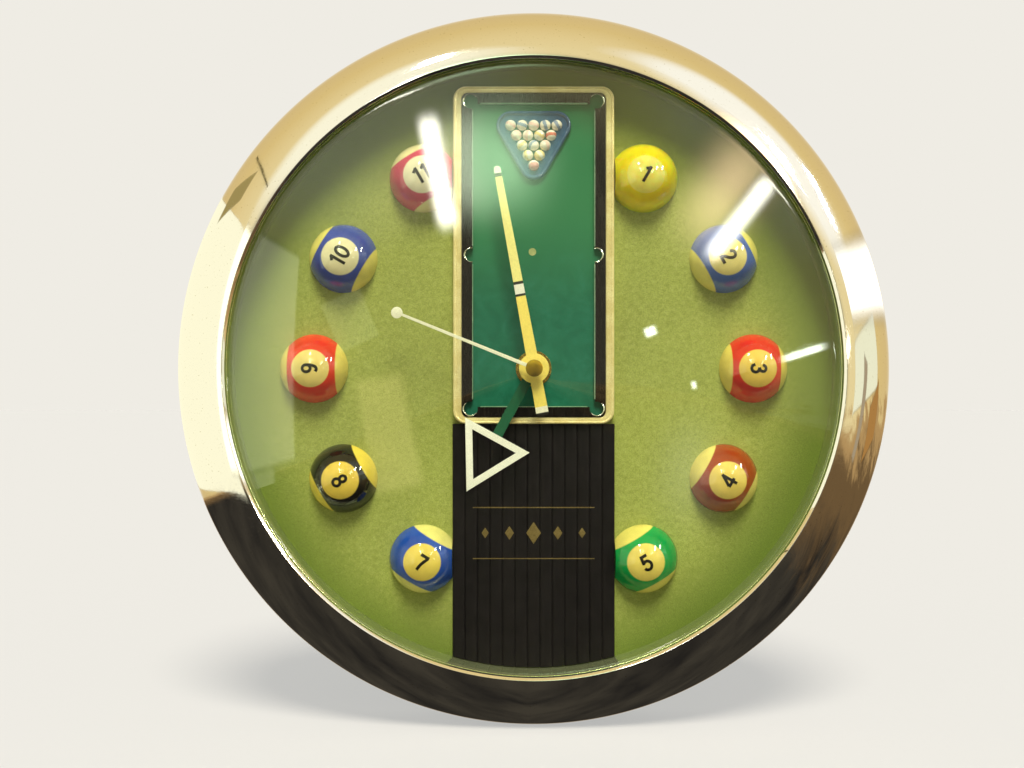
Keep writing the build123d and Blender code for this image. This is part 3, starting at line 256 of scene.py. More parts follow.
cameraFacts = {"at": (-9.1, -525.3, -6.5), "lensMm": 41.8, "sensorMm": 36.0, "nearest": 10.0}
cameraData = bpy.data.cameras.new("camera")
cameraData.lens, cameraData.sensor_width = cameraFacts["lensMm"], cameraFacts["sensorMm"]
cameraData.clip_start = cameraFacts["nearest"] * mm
camera = bpy.data.objects.new("camera", cameraData)
camera.location = Vector(cameraFacts["at"]) * mm
camera.rotation_euler = (pi / 2, 0, 0)
scene.collection.objects.link(camera)
scene.camera = camera
scene.view_settings.view_transform = "Standard"
print("camera placed")


# Studio: pale floor, plain soft light, and a quiet room that only polished surfaces mirror

studioFacts = {
    "floorZ": -150.3, "floorSize": 12000.0, "paleTone": "#efece4", "floorTone": (0.27, 0.262, 0.245),
    "fillTone": "#fffbf2", "fillStrength": 0.44, "roomStrength": 1.12,
    "sunFrom": (0.05, -0.54, 0.84), "sunStrength": 4.1, "sunTone": "#fffaf0", "sunSpread": 22.0,
}
clothFacts = {  # the dark cloth below: its edge as an angle over level (left, right), and how far it takes to darken
    "tones": ("#242220", "#3e3a33"), "edge": (-0.37, -0.08), "run": (0.03, 0.62), "behind": (0.95, 0.6),
    "uneven": 0.13, "skew": 0.30, "folds": (6.0, 1.1, 1.0),
    "fringe": ((0.0, 0.10, "#b59463"), (0.16, 0.34, "#6c563a"), (0.45, 1.0, None)),
}
mirroredRoom = [  # what polished surfaces mirror, from behind the camera (-1) to behind the clock (1)
    (-1.0, "#7d7768"), (-0.89, "#80796a"), (-0.83, "#e9d8a4"), (-0.45, "#e5d098"), (0.0, "#dcc385"),
    (0.45, "#d6bd86"), (1.0, "#efece4")]
mirroredLights = [  # direction, how close to it the glow starts and is full, tone
    ((0.58, -0.56, 0.58), (0.885, 0.97), "#fffdf4"),
    ((-0.32, -0.77, 0.55), (0.93, 0.99), "#fffce6"),
]
world = bpy.data.worlds.new("studio")
scene.world = world
world.use_nodes = True
sky = world.node_tree
sky.nodes.clear()
way = addNode(sky, "TexCoord", output="Generated")
wayX, wayY, wayZ = addNode(sky, "SeparateXYZ", [way]).node.outputs
roomColour = addNode(sky, "ValToRGB", [addNode(sky, "MapRange", [wayY, -1.0])])
setStops(roomColour, [((at + 1) / 2, tone) for at, tone in mirroredRoom])
for direction, (starts, full), tone in mirroredLights:
    nearness = addNode(sky, "VectorMath", [way, Vector(direction).normalized()], "Value", operation="DOT_PRODUCT")
    glow = addNode(sky, "MapRange", [nearness, starts, full], interpolation_type="SMOOTHSTEP")
    roomColour = addNode(sky, "Mix", {0: glow, 6: roomColour, 7: tone}, 2, data_type="RGBA")

# below, a dark napped cloth: crisp on the left, with a worn brown fringe on the right
rightShare = addNode(sky, "MapRange", [wayX, -0.2, 0.2])
level = addNode(sky, "Math", [wayZ, addNode(sky, "Math", [wayX], operation="ABSOLUTE")], operation="ARCTAN2")
skewed = addNode(sky, "Math", [wayY, clothFacts["skew"], level], operation="MULTIPLY_ADD")
unfolded = addNode(sky, "CombineXYZ", [skewed, wayY, wayX])
folded = addNode(sky, "VectorMath", [unfolded, clothFacts["folds"]], operation="MULTIPLY")
folds = addNode(sky, "TexNoise", {"Vector": folded, "Scale": 1.0, "Detail": 7.0, "Roughness": 0.6, "Distortion": 0.4})
foldShare = addNode(sky, "MapRange", [folds, 0.35, 0.65])
darkTone, paleTone = clothFacts["tones"]
clothColour = addNode(sky, "Mix", {0: foldShare, 6: darkTone, 7: paleTone}, 2, data_type="RGBA")
edgeAt, run = (addNode(sky, "MapRange", [rightShare, 0.0, 1.0, *clothFacts[key]]) for key in ("edge", "run"))
ragged = addNode(sky, "TexNoise", {
    "Vector": folded, "Scale": 1.6, "Detail": 6.0, "Roughness": 0.7, "Distortion": 0.8})
raggedShift = addNode(sky, "MapRange", [ragged, 0.3, 0.7, -clothFacts["uneven"], clothFacts["uneven"]])
sideShift = addNode(sky, "Math", [raggedShift, rightShare], operation="MULTIPLY")
raggedEdge = addNode(sky, "Math", [edgeAt, sideShift], operation="ADD")
below = addNode(sky, "Math", [raggedEdge, level], operation="SUBTRACT")
inside = addNode(sky, "Math", [below, run], operation="DIVIDE")
behindShare = addNode(sky, "MapRange", [wayY, *clothFacts["behind"]])
for starts, full, tone in clothFacts["fringe"]:
    step = addNode(sky, "MapRange", [inside, starts, full], interpolation_type="SMOOTHSTEP")
    share = addNode(sky, "Math", [step, behindShare], operation="MULTIPLY")
    roomColour = addNode(sky, "Mix", {0: share, 6: roomColour, 7: tone or clothColour}, 2, data_type="RGBA")


def paleShare(tree):
    # 1 where the eye looks, straight or through the glass
    rays = addNode(tree, "LightPath").node.outputs
    return addNode(tree, "Math", [rays["Is Camera Ray"], rays["Is Transmission Ray"]], operation="MAXIMUM")


fill = addNode(sky, "Background", [studioFacts["fillTone"], studioFacts["fillStrength"]])
room = addNode(sky, "Background", [roomColour, studioFacts["roomStrength"]])
pale = addNode(sky, "Background", [studioFacts["paleTone"], 1.0])
lighting = addNode(sky, "MixShader", [addNode(sky, "LightPath", output="Is Glossy Ray"), fill, room])
shown = addNode(sky, "MixShader", [paleShare(sky), lighting, pale])
setSockets(sky.nodes.new("ShaderNodeOutputWorld"), {"Surface": shown})

sunData = bpy.data.lights.new("softKey", "SUN")  # overhead and in front: the rim shades the top of the felt
sunData.energy, sunData.angle = studioFacts["sunStrength"], radians(studioFacts["sunSpread"])
sunData.color = linearTone(studioFacts["sunTone"])[:3]
sun = bpy.data.objects.new("softKey", sunData)
sunWay = Vector(studioFacts["sunFrom"]).normalized()
sun.rotation_euler = sunWay.to_track_quat("Z", "Y").to_euler()
sun.visible_glossy = False
scene.collection.objects.link(sun)


def paintedBoard(name, facts):
    # the lit paint keeps the shadow, and the rest of its tone is added for the eye, so that it meets the background
    material, tree, shader = newMaterial(name)
    fillShare, sunShare = facts["fillStrength"], facts["sunStrength"] * sunWay.z / pi
    pale, fillTone, sunTone = (linearTone(facts[key]) for key in ("paleTone", "fillTone", "sunTone"))
    rest = tuple(max(0.0, whole - paint * (filled * fillShare + sunlit * sunShare))
                 for whole, paint, filled, sunlit in zip(pale, facts["floorTone"], fillTone, sunTone))
    added = addNode(tree, "Mix", {0: paleShare(tree), 6: "#000000", 7: rest + (1.0,)}, 2, data_type="RGBA")
    setSockets(shader, {
        "Base Color": facts["floorTone"] + (1.0,), "Roughness": 1.0, "Specular IOR Level": 0.0,
        "Emission Color": added, "Emission Strength": 1.0})
    return material


floorHalf = studioFacts["floorSize"] / 2
floor = meshObject("studioFloor", rectangle(-floorHalf, floorHalf, -floorHalf, floorHalf), [[0, 1, 2, 3]],
                   Matrix.Translation((0, 0, studioFacts["floorZ"] * mm)))
floor.data.materials.append(paintedBoard("paintedBoardFloor", studioFacts))
floor.visible_glossy = False

cardFacts = {  # place, size, roll, strength, where the soft border starts (1 is crisp), tone, and where it faces
    # fluorescent tubes behind the camera, with their glow: soft-ended streaks in the glass
    "tubeLeft": ((-0.308, -1.446, 0.705), (0.135, 0.52), 14, 24.0, (0.15, 0.60), "#fffaf0"),
    "tubeRight": ((0.722, -1.34, 0.525), (0.122, 0.46), -44, 22.0, (0.10, 0.55), "#fffaf0"),
    "glowLeft": ((-0.195, -1.50, 0.76), (0.40, 0.66), 8, 10.0, (0.0, 0.1), "#f6ffe2"),
    "glowRight": ((0.70, -1.38, 0.64), (0.50, 0.86), -40, 8.0, (0.0, 0.1), "#ffdfae"),
    "hazeTable": ((-0.08, -1.50, 0.76), (0.66, 0.78), 0, 6.0, (0.0, 0.0), "#d8ffd0"),
    "tubeFar": ((0.975, -1.385, 0.075), (0.24, 0.040), 16, 20.0, (0.4, 0.3), "#fbfff4"),
    "lampSmall": ((0.44, -1.55, 0.150), (0.070, 0.055), 20, 18.0, (0.3, 0.3), "#fbfff4"),
    "lampTiny": ((0.60, -1.54, -0.04), (0.034, 0.050), 10, 14.0, (0.2, 0.2), "#fbfff4"),
    "hazeRight": ((0.58, -1.50, -0.34), (0.50, 0.80), 0, 0.9, (0.0, 0.0), "#e4e8f2"),
    # small lamps above: the glints on every ball
    "glintLeft": ((-0.25, -0.73, 0.84), (0.12, 0.20), 14, 60.0, (0.4, 0.6), "#fffaf0"),
    "glintNear": ((0.66, -0.66, 0.54), (0.085, 0.28), -40, 90.0, (0.5, 0.8), "#fffaf0"),
    "glintFar": ((0.90, -0.38, 0.55), (0.085, 0.28), -40, 90.0, (0.5, 0.8), "#fffaf0"),
    # the window on the left and what stands above it
    "windowLeft": ((-1.20, -0.14, 0.10), (3.7, 1.12), -2, 1.16, (0.97, 0.99), "#fffde2", (-1, 0, 0)),
    "paneLeft": ((-1.19, -1.845, 0.10), (0.69, 1.12), -2, 1.75, (0.9, 0.9), "#fffde2", (-1, 0, 0)),
    "shutterHigh": ((-0.585, -1.40, 0.178), (0.165, 0.20), 25, 1.1, (0.8, 0.8), "#f2f6c4"),
    "shutterLow": ((-0.465, -1.45, -0.20), (0.24, 0.46), 10, 1.6, (0.5, 0.75), "#ffe8a0"),
    "signLeft": ((-1.08, -0.06, 0.66), (0.55, 0.16), 14, 1.2, (0.8, 0.8), "#9c8c58", (-1, 0, 0.3)),
    "cableLeft": ((-1.02, -0.5, 0.78), (1.4, 0.016), -3, 0.5, (0.97, 0.6), "#6b6337", (-1, 0, 0)),
    # lit wall, pane and posts on the right
    "wallRight": ((1.20, -0.05, 0.34), (2.5, 0.42), 0, 1.9, (0.9, 0.35), "#fffef8", (1, 0, 0)),
    "paneRight": ((1.26, -0.70, 0.02), (1.3, 0.30), 5, 1.05, (0.98, 0.85), "#f6f7dc", (1, 0, 0)),
    "postRight": ((1.22, -0.62, -0.14), (0.16, 0.40), -12, 0.75, (0.9, 0.9), "#c9b79a", (1, 0, 0)),
    "boxRight": ((1.22, -0.10, -0.18), (0.34, 0.24), 18, 0.85, (0.9, 0.8), "#c39152", (1, 0, 0)),
}
for cardName, (at, (wide, tall), roll, strength, edge, tone, *faces) in cardFacts.items():
    material, tree, shader = newMaterial(cardName + "Glow")
    place = addNode(tree, "TexCoord", output="Object")
    scaled = addNode(tree, "VectorMath", [place, (2 / wide, 2 / tall, 0)], operation="MULTIPLY")
    fades = []
    for reach, starts in zip(addNode(tree, "SeparateXYZ", [scaled]).node.outputs, edge):
        away = addNode(tree, "Math", [reach], operation="ABSOLUTE")
        fades.append(addNode(tree, "MapRange", [away, 1.0, starts], interpolation_type="SMOOTHSTEP"))
    share = addNode(tree, "Math", fades, operation="MULTIPLY")
    glow = addNode(tree, "Math", [share, strength], operation="MULTIPLY")
    setSockets(shader, {"Base Color": "#000000", "Specular IOR Level": 0.0, "Alpha": share, "Emission Color": tone,
                        "Emission Strength": glow})
    halfWide, halfTall = wide / 2 / mm, tall / 2 / mm
    aim = Vector(faces[0] if faces else at).to_track_quat("Z", "Y").to_matrix().to_4x4()
    card = meshObject(cardName, rectangle(-halfWide, halfWide, -halfTall, halfTall), [[0, 1, 2, 3]],
                      Matrix.Translation(at) @ aim @ Matrix.Rotation(radians(roll), 4, "Z"))
    card.data.materials.append(material)
    card.visible_camera = card.visible_diffuse = card.visible_shadow = card.visible_transmission = False
print("studio set")


# Bezel: pressed steel, polished and chromium plated

bezelFacts = {  # lean is the angle of the surface's normal away from the axis
    "outer": 150.0, "opening": 127.0, "lipBack": 36.0, "lipFront": 38.0, "crown": (129.2, 38.8), "bend": 30.3,
    "lipLean": 7.0, "domeLean": 14.0, "leans": (9.3, 53.3), "shell": 1.8, "skirtEnd": (149.2, 1.5),
    "rib": (130.8, 132.2, 23.0), "rounds": (0.2, 0.4, 0.35), "hemRound": 0.5,
}
chromeFacts = {
    "tone": "#eeebe2", "pit": "#d2cbb4", "rough": (0.025, 0.09), "smudgeMm": 26.0, "waveMm": 42.0, "peelMm": 3.5,
    "scratchMm": 0.7, "pitMm": (0.7, 3.4)}


def chromedSteel(name, facts):
    # chromium over polished nickel: a clear mirror, a little soft where fingers and cloths have been
    material, tree, shader = newMaterial(name)
    place = objectMillimetres(tree)
    pitWide, pitTall = facts["pitMm"]
    smudge = addNode(tree, "TexNoise", {
        "Vector": place, "Scale": 1 / facts["smudgeMm"], "Detail": 6.0, "Roughness": 0.65})
    wiped = addNode(tree, "VectorMath", [place, (0.06, 1.0, 1.0)], operation="MULTIPLY")
    wipes = addNode(tree, "TexNoise", {
        "Vector": wiped, "Scale": 1 / facts["scratchMm"], "Detail": 2.0, "Distortion": 1.5})
    veil = addNode(tree, "Math", [smudge, wipes], operation="MULTIPLY")
    rough = addNode(tree, "MapRange", [veil, 0.16, 0.40, *facts["rough"]])
    wave = addNode(tree, "TexNoise", {"Vector": place, "Scale": 1 / facts["waveMm"], "Detail": 1.0})
    orangePeel = addNode(tree, "TexNoise", {"Vector": place, "Scale": 1 / facts["peelMm"], "Detail": 2.0})
    swell = addNode(tree, "Bump", {"Strength": 0.6, "Distance": 0.5 * mm, "Height": wave})
    relief = addNode(tree, "Bump", {
        "Strength": 0.35, "Distance": 0.012 * mm, "Height": orangePeel, "Normal": swell})
    pitPlace = addNode(tree, "VectorMath", [place, (1 / pitWide, 1 / pitWide, 1 / pitTall)], operation="MULTIPLY")
    pits = addNode(tree, "TexNoise", {"Vector": pitPlace, "Scale": 1.0, "Detail": 1.0})
    pitted = addNode(tree, "MapRange", [pits, 0.70, 0.78])
    colour = addNode(tree, "Mix", {0: pitted, 6: facts["tone"], 7: facts["pit"]}, 2, data_type="RGBA")
    setSockets(shader, {"Metallic": 1.0, "Base Color": colour, "Roughness": rough, "Normal": relief})
    return material


def bezelProfile(facts):
    bend, shell, outer, opening = (facts[key] for key in ("bend", "shell", "outer", "opening"))
    (leanIn, leanOut), domeLean, (crownR, crownD) = facts["leans"], facts["domeLean"], facts["crown"]
    (skirtR, skirtD), (ribIn, ribOut, ribEnd) = facts["skirtEnd"], facts["rib"]
    centre = (crownR - bend * sin(radians(leanIn)), crownD - bend * cos(radians(leanIn)))
    domeEnd = centre[0] + bend * sin(radians(leanOut))
    shoulder = (outer - domeEnd) / (1 - sin(radians(leanOut)))
    shoulderCentre = (outer - shoulder, centre[1] + (bend - shoulder) * cos(radians(leanOut)))
    lipEnd, domeStart = arcPoints(centre, bend, facts["lipLean"], domeLean, 1)
    backRound, frontRound, domeRound = facts["rounds"]
    lip = roundCorners([
        (ribIn, facts["lipBack"]), (opening, facts["lipBack"], backRound), (opening, facts["lipFront"], frontRound),
        lipEnd + (domeRound,), domeStart])
    outside = arcPoints(centre, bend, domeLean, leanOut, 44)
    outside += arcPoints(shoulderCentre, shoulder, leanOut, 90, 26)[1:]
    hem = roundCorners([outside[-1], (skirtR, skirtD, facts["hemRound"]), (skirtR - shell, skirtD, facts["hemRound"]),
                        (shoulderCentre[0] + shoulder - shell, shoulderCentre[1])])
    innerLean = degrees(asin((ribOut - centre[0]) / (bend - shell)))
    inside = arcPoints(shoulderCentre, shoulder - shell, 90, leanOut, 10)
    inside += arcPoints(centre, bend - shell, leanOut, innerLean, 16)[1:]
    return lip[:-1] + outside + hem[1:-1] + inside + [(ribOut, ribEnd), (ribIn, ribEnd)]


settle(latheObject("bezelShell", bezelProfile(bezelFacts), dialPlace(), 384, 28),
       "case", chromedSteel("chromedSteelPolished", chromeFacts), "chrome_plate", "bezel")

# Spacer: moulded wall between felt and glass

spacerFacts = {"foot": 126.0, "top": 127.2, "outer": 130.4, "back": 23.35, "front": 33.94, "round": 0.4}
# a thin bright coat on moulded plastic: satin and mirror-like, with a green-yellow tint that is partly painted
# reflection of the felt
spacerMaterial = plainStock("vapourCoatedAbs", {
    "dark": "#c6cc9e", "light": "#d0d6a8", "metallic": 0.85, "grainMm": 9.0, "rough": (0.16, 0.20), "relief": 0.0,
    "edgeMm": 0.0})
foot, top, outer, back, front = (spacerFacts[key] for key in ("foot", "top", "outer", "back", "front"))
spacerProfile = roundCorners([(foot, back), (outer, back), (outer, front), (top, front, spacerFacts["round"])])
settle(latheObject("spacerWall", spacerProfile, dialPlace(), 384),
       "case", spacerMaterial, "chrome_plate", "spacer_ring")

# Lens: slumped window glass, ground at its rim

lensFacts = {
    "rim": 130.4, "seat": 34.0, "flange": 3.9, "sag": 12.0, "thick": 2.0, "ior": 1.5, "tone": "#fbfdf8",
    "dustMm": 45.0, "round": 0.3}


def lensProfile(facts):
    rim, seat, back = facts["rim"], facts["seat"], facts["seat"] + facts["thick"]
    domeRim = rim - facts["flange"]
    innerCurve = (domeRim ** 2 + facts["sag"] ** 2) / (2 * facts["sag"])
    centre = (0, seat + facts["sag"] - innerCurve)
    outerCurve = innerCurve + facts["thick"]
    outerRim = sqrt(outerCurve ** 2 - (back - centre[1]) ** 2)
    return (arcPoints(centre, innerCurve, 0, degrees(asin(domeRim / innerCurve)), 48)
            + roundCorners([(rim, seat, facts["round"]), (rim, back, facts["round"])])
            + arcPoints(centre, outerCurve, degrees(asin(outerRim / outerCurve)), 0, 48))


def slumpedGlass(name, facts):
    # thin clear glass: nearly all light goes straight through, and the front face mirrors more towards its edge
    material, tree, shader = newMaterial(name)
    tree.nodes.remove(shader)
    clear = addNode(tree, "BsdfTransparent", [facts["tone"]])
    dust = addNode(tree, "TexNoise", {"Vector": objectMillimetres(tree), "Scale": 1 / facts["dustMm"], "Detail": 4.0})
    dusty = addNode(tree, "MapRange", [dust, 0.4, 0.7, 0.0, 0.05])
    sheen = addNode(tree, "BsdfGlossy", ["#ffffff", dusty])
    oneSided = addNode(tree, "Math", [1.0, addNode(tree, "NewGeometry", output="Backfacing")], operation="SUBTRACT")
    share = addNode(tree, "Math", [addNode(tree, "Fresnel", [facts["ior"]]), oneSided], operation="MULTIPLY")
    setSockets(tree.nodes["Material Output"], {"Surface": addNode(tree, "MixShader", [share, clear, sheen])})
    return material


settle(latheObject("domeLens", lensProfile(lensFacts), dialPlace(), 256, 25),
       "case", slumpedGlass("slumpedGlass", lensFacts), "clear_glass", "lens")
print("bezel, spacer and lens made")


# Dial felt: pressed wool, short nap

feltFacts = {  # the nap is coarser than the real one, so that it shows
    "hole": 4.2, "rim": 130.4, "back": 22.5, "front": 23.5, "ringMm": 1.7, "segments": 420, "napMm": 0.10,
    "tuftMm": 2.2, "pressed": 121.0, "pressedRun": 5.0, "seed": 11.0}
# the last entry is painted shade: darker felt towards the rim, where the rim's shadow falls
feltTones = {
    "deep": "#939c4c", "mid": "#a3aa56", "pale": "#b2b666", "clumpMm": 1.7, "fibreMm": 0.42, "shadeMm": 55.0,
    "fleck": (0.78, 1.20), "rimShadePainted": (92.0, 127.0, (3.0, 6.0, 0.0), "#66782e")}


def woollenCloth(name, tones):
    # pressed or woven wool: matted fibres, soft clumps, no shine but a faint fuzz at low angles; painted shade near a
    # rim and painted sheen towards the top where the tones ask for them
    material, tree, shader = newMaterial(name)
    place = objectMillimetres(tree)
    clump = addNode(tree, "TexNoise", {
        "Vector": place, "Scale": 1 / tones["clumpMm"], "Detail": 6.0, "Roughness": 0.7, "Distortion": 0.6})
    fibre = addNode(tree, "TexNoise", {
        "Vector": place, "Scale": 1 / tones["fibreMm"], "Detail": 3.0, "Roughness": 0.8, "Distortion": 0.6})
    shade = addNode(tree, "TexNoise", {"Vector": place, "Scale": 1 / tones["shadeMm"], "Detail": 2.0})
    dyed = addNode(tree, "ValToRGB", [clump])
    setStops(dyed, [(0.30, tones["deep"]), (0.5, tones["mid"]), (0.72, tones["pale"])])
    if "rimShadePainted" in tones:  # painted shade: darker towards the rim, centred a little off the axis, where the rim's shadow falls
        starts, full, shift, tone = tones["rimShadePainted"]
        flat = addNode(tree, "VectorMath", [place, (1, 1, 0)], operation="MULTIPLY")
        level = addNode(tree, "VectorMath", [flat, shift], operation="ADD")
        distance = addNode(tree, "VectorMath", [level], "Value", operation="LENGTH")
        shaded = addNode(tree, "MapRange", [distance, starts, full], interpolation_type="SMOOTHSTEP")
        dyed = addNode(tree, "Mix", {0: shaded, 6: dyed, 7: tone}, 2, data_type="RGBA")
    if "topSheenPainted" in tones:  # painted sheen: lighter towards its upper end, where light from above glances off the cloth
        starts, full, tone = tones["topSheenPainted"]
        height = addNode(tree, "SeparateXYZ", [place], "Z")
        sheenShare = addNode(tree, "MapRange", [height, starts, full], interpolation_type="SMOOTHSTEP")
        dyed = addNode(tree, "Mix", {0: sheenShare, 6: dyed, 7: tone}, 2, data_type="RGBA")
    fleck = addNode(tree, "MapRange", [fibre, 0.35, 0.65, *tones["fleck"]])
    tint = addNode(tree, "MapRange", [shade, 0.3, 0.7, 0.9, 1.08])
    value = addNode(tree, "Math", [fleck, tint], operation="MULTIPLY")
    colour = addNode(tree, "VectorMath", {0: dyed, "Scale": value}, operation="SCALE")
    relief = addNode(tree, "Bump", {"Strength": 0.7, "Distance": 0.12 * mm, "Height": fibre})
    setSockets(shader, {"Base Color": colour, "Normal": relief, "Roughness": 0.95, "Specular IOR Level": 0.1,
                        "Sheen Weight": 0.25, "Sheen Roughness": 0.5})
    return material


def nappedDisc(name, facts):
    hole, rim, segments = facts["hole"], facts["rim"], facts["segments"]
    turns = [2 * pi * k / segments for k in range(segments)]
    rings = int((rim - hole) / facts["ringMm"]) + 1
    rows = []
    for ring in range(rings + 1):
        radius = hole + (rim - hole) * ring / rings
        # pressed flat at the wall
        nap = facts["napMm"] * min(1.0, max(0.0, (facts["pressed"] - radius) / facts["pressedRun"]))
        row = []
        for x, y in ((radius * cos(turn), radius * sin(turn)) for turn in turns):
            lift = noise.noise(Vector((x / facts["tuftMm"], y / facts["tuftMm"], facts["seed"]))) * nap
            row.append((x, y, facts["front"] - nap + lift))
        rows.append(row)
    rows += [[(radius * cos(turn), radius * sin(turn), facts["back"]) for turn in turns] for radius in (rim, hole)]
    return sweepObject(name, [(rows, True)], dialPlace(), 50)


settle(nappedDisc("feltDisc", feltFacts), "case", woollenCloth("pressedWoolFelt", feltTones), "felt", "dial_felt")
print("felt laid")


# Half balls: cast resin, dyed through and polished, with the number disc and band cast in

ballFacts = {
    "ring": 92.7, "radius": 14.75, "height": 12.0, "felt": 23.5, "cutX": 34.2, "cutSides": {1: 1, 5: 1, 7: -1, 11: -1},
    "bandHalf": 10.0, "discRadius": 7.8, "blurMm": 0.22, "cloudMm": 7.0, "footBevel": 0.25}
ballTones = {  # tones of band, caps and number disc, whether the figure's top is outwards, slot, and depth of dye
    1: ("#f2de0c", "#f0da14", "#f3e66c", True, "ball_yellow", (0.7, 9.0)),
    2: ("#4a6cba", "#ecdf74", "#f2df8c", True, "ball_blue", (0.03, 0.5)),
    3: ("#e02a16", "#edd466", "#f2cb5c", True, "ball_red", (0.03, 0.5)),
    4: ("#a23f0e", "#f0dc78", "#f3d46a", False, "ball_brown", (0.03, 0.5)),
    5: ("#08a04c", "#ecdc70", "#f4da6c", False, "ball_green", (0.03, 0.5)),
    7: ("#2350b0", "#eadf82", "#f2d562", False, "ball_blue", (0.03, 0.5)),
    8: ("#1a1813", "#f2d552", "#efcc55", False, "ball_black", (0.03, 0.5)),
    9: ("#e63820", "#efd76c", "#f3d880", True, "ball_red", (0.03, 0.5)),
    10: ("#3c4fa6", "#ecdb72", "#f2e6b6", True, "ball_blue", (0.03, 0.5)),
    11: ("#d64660", "#eee0a4", "#f3e9c4", True, "ball_pink", (0.03, 0.5)),
}


def castResin(name, bandTone, bodyTone, discTone, glowShare, glowMm):
    # cast resin is glossy and nearly opaque: the colours meet in a clean, slightly soft line
    material, tree, shader = newMaterial(name)
    place = objectMillimetres(tree)
    blur, bandHalf, discRadius = ballFacts["blurMm"], ballFacts["bandHalf"], ballFacts["discRadius"]
    along = addNode(tree, "Math", [addNode(tree, "SeparateXYZ", [place], "Y")], operation="ABSOLUTE")
    band = addNode(tree, "MapRange", [along, bandHalf - blur, bandHalf + blur])
    disc = addNode(tree, "MapRange", [distanceAcross(tree, place), discRadius - blur, discRadius + blur])
    body = addNode(tree, "Mix", {0: band, 6: bandTone, 7: bodyTone}, 2, data_type="RGBA")
    tone = addNode(tree, "Mix", {0: disc, 6: discTone, 7: body}, 2, data_type="RGBA")
    cloud = addNode(tree, "TexNoise", {"Vector": place, "Scale": 1 / ballFacts["cloudMm"], "Detail": 3.0})
    mottle = addNode(tree, "MapRange", [cloud, 0.3, 0.7, 0.86, 1.06])
    colour = addNode(tree, "VectorMath", {0: tone, "Scale": mottle}, operation="SCALE")
    relief = addNode(tree, "Bump", {"Strength": 0.15, "Distance": 0.05 * mm, "Height": cloud})
    setSockets(shader, {
        "Base Color": colour, "Roughness": 0.07, "IOR": 1.52, "Coat Weight": 0.4, "Coat Roughness": 0.03,
        "Coat Normal": relief, "Subsurface Weight": glowShare, "Subsurface Scale": glowMm * mm})
    return material


def halfBall(name, place, cutSide):
    # the balls beside the table are cut flat where they meet it
    radius, lowest = ballFacts["radius"], ballFacts["radius"] - ballFacts["height"]
    profile = [(0, lowest), (sqrt(radius ** 2 - lowest ** 2) - ballFacts["footBevel"], lowest)]
    profile += arcPoints((0, 0), radius, degrees(acos(lowest / radius)), 0, 40)
    piece = latheObject(name, profile)
    work = bmesh.new()
    work.from_mesh(piece.data)
    if cutSide:
        toLocal = place.inverted()
        cut = bmesh.ops.bisect_plane(
            work, geom=work.verts[:] + work.edges[:] + work.faces[:], clear_outer=True,
            plane_co=toLocal @ Vector((cutSide * ballFacts["cutX"] * mm, 0, 0)),
            plane_no=toLocal.to_3x3() @ Vector((-cutSide, 0, 0)))
        bmesh.ops.contextual_create(work, geom=[e for e in cut["geom_cut"] if isinstance(e, bmesh.types.BMEdge)])
    work.to_mesh(piece.data)
    work.free()
    shadeSmooth(piece.data, 30)
    piece.matrix_world = place
    return piece


def ovalPoints(centreY, halfWidth, halfHeight, count=12):
    turns = [2 * pi * k / count for k in range(count)]
    return [(halfWidth * sin(turn), centreY + halfHeight * cos(turn)) for turn in turns]


figureFacts = {
    "tall": 7.1, "stroke": 0.175, "ink": 0.07, "sunk": 0.01, "stepMm": 0.35, "apart": 0.58, "apartNarrow": 0.50}
figureStrokes = {  # centre lines in a box one high, as joined ovals or open runs, curved or straight
    "0": [("oval", ovalPoints(0.5, 0.225, 0.412))],
    "1": [("straight", [(0.06, 1.0), (0.06, 0.0)]), ("straight", [(0.10, 0.95), (-0.16, 0.76)])],
    "2": [("curved", [(-0.21, 0.69), (-0.14, 0.85), (0.02, 0.912), (0.17, 0.84), (0.20, 0.67), (0.10, 0.47),
                      (-0.09, 0.28), (-0.20, 0.10)]),
          ("straight", [(-0.28, 0.088), (0.28, 0.088)])],
    "3": [("curved", [(-0.20, 0.73), (-0.11, 0.87), (0.03, 0.912), (0.16, 0.84), (0.18, 0.70), (0.10, 0.57),
                      (-0.05, 0.53)]),
          ("curved", [(-0.05, 0.53), (0.12, 0.49), (0.215, 0.37), (0.20, 0.21), (0.09, 0.11), (-0.04, 0.088),
                      (-0.17, 0.15), (-0.22, 0.29)])],
    "4": [("straight", [(0.10, 1.0), (0.10, 0.0)]), ("straight", [(0.13, 0.99), (-0.27, 0.34)]),
          ("straight", [(-0.31, 0.30), (0.29, 0.30)])],
    "5": [("straight", [(0.23, 0.912), (-0.20, 0.912)]), ("straight", [(-0.12, 0.96), (-0.18, 0.47)]),
          ("curved", [(-0.20, 0.50), (-0.06, 0.60), (0.10, 0.58), (0.21, 0.45), (0.22, 0.28), (0.12, 0.13),
                      (-0.02, 0.088), (-0.16, 0.13), (-0.23, 0.26)])],
    "7": [("straight", [(-0.27, 0.912), (0.27, 0.912)]),
          ("curved", [(0.21, 0.88), (0.08, 0.62), (-0.02, 0.34), (-0.07, 0.0)])],
    "8": [("oval", ovalPoints(0.72, 0.175, 0.192)), ("oval", ovalPoints(0.305, 0.215, 0.217))],
    "9": [("oval", ovalPoints(0.675, 0.205, 0.237)),
          ("curved", [(0.205, 0.69), (0.19, 0.42), (0.10, 0.17), (-0.04, 0.088), (-0.18, 0.16)])],
}


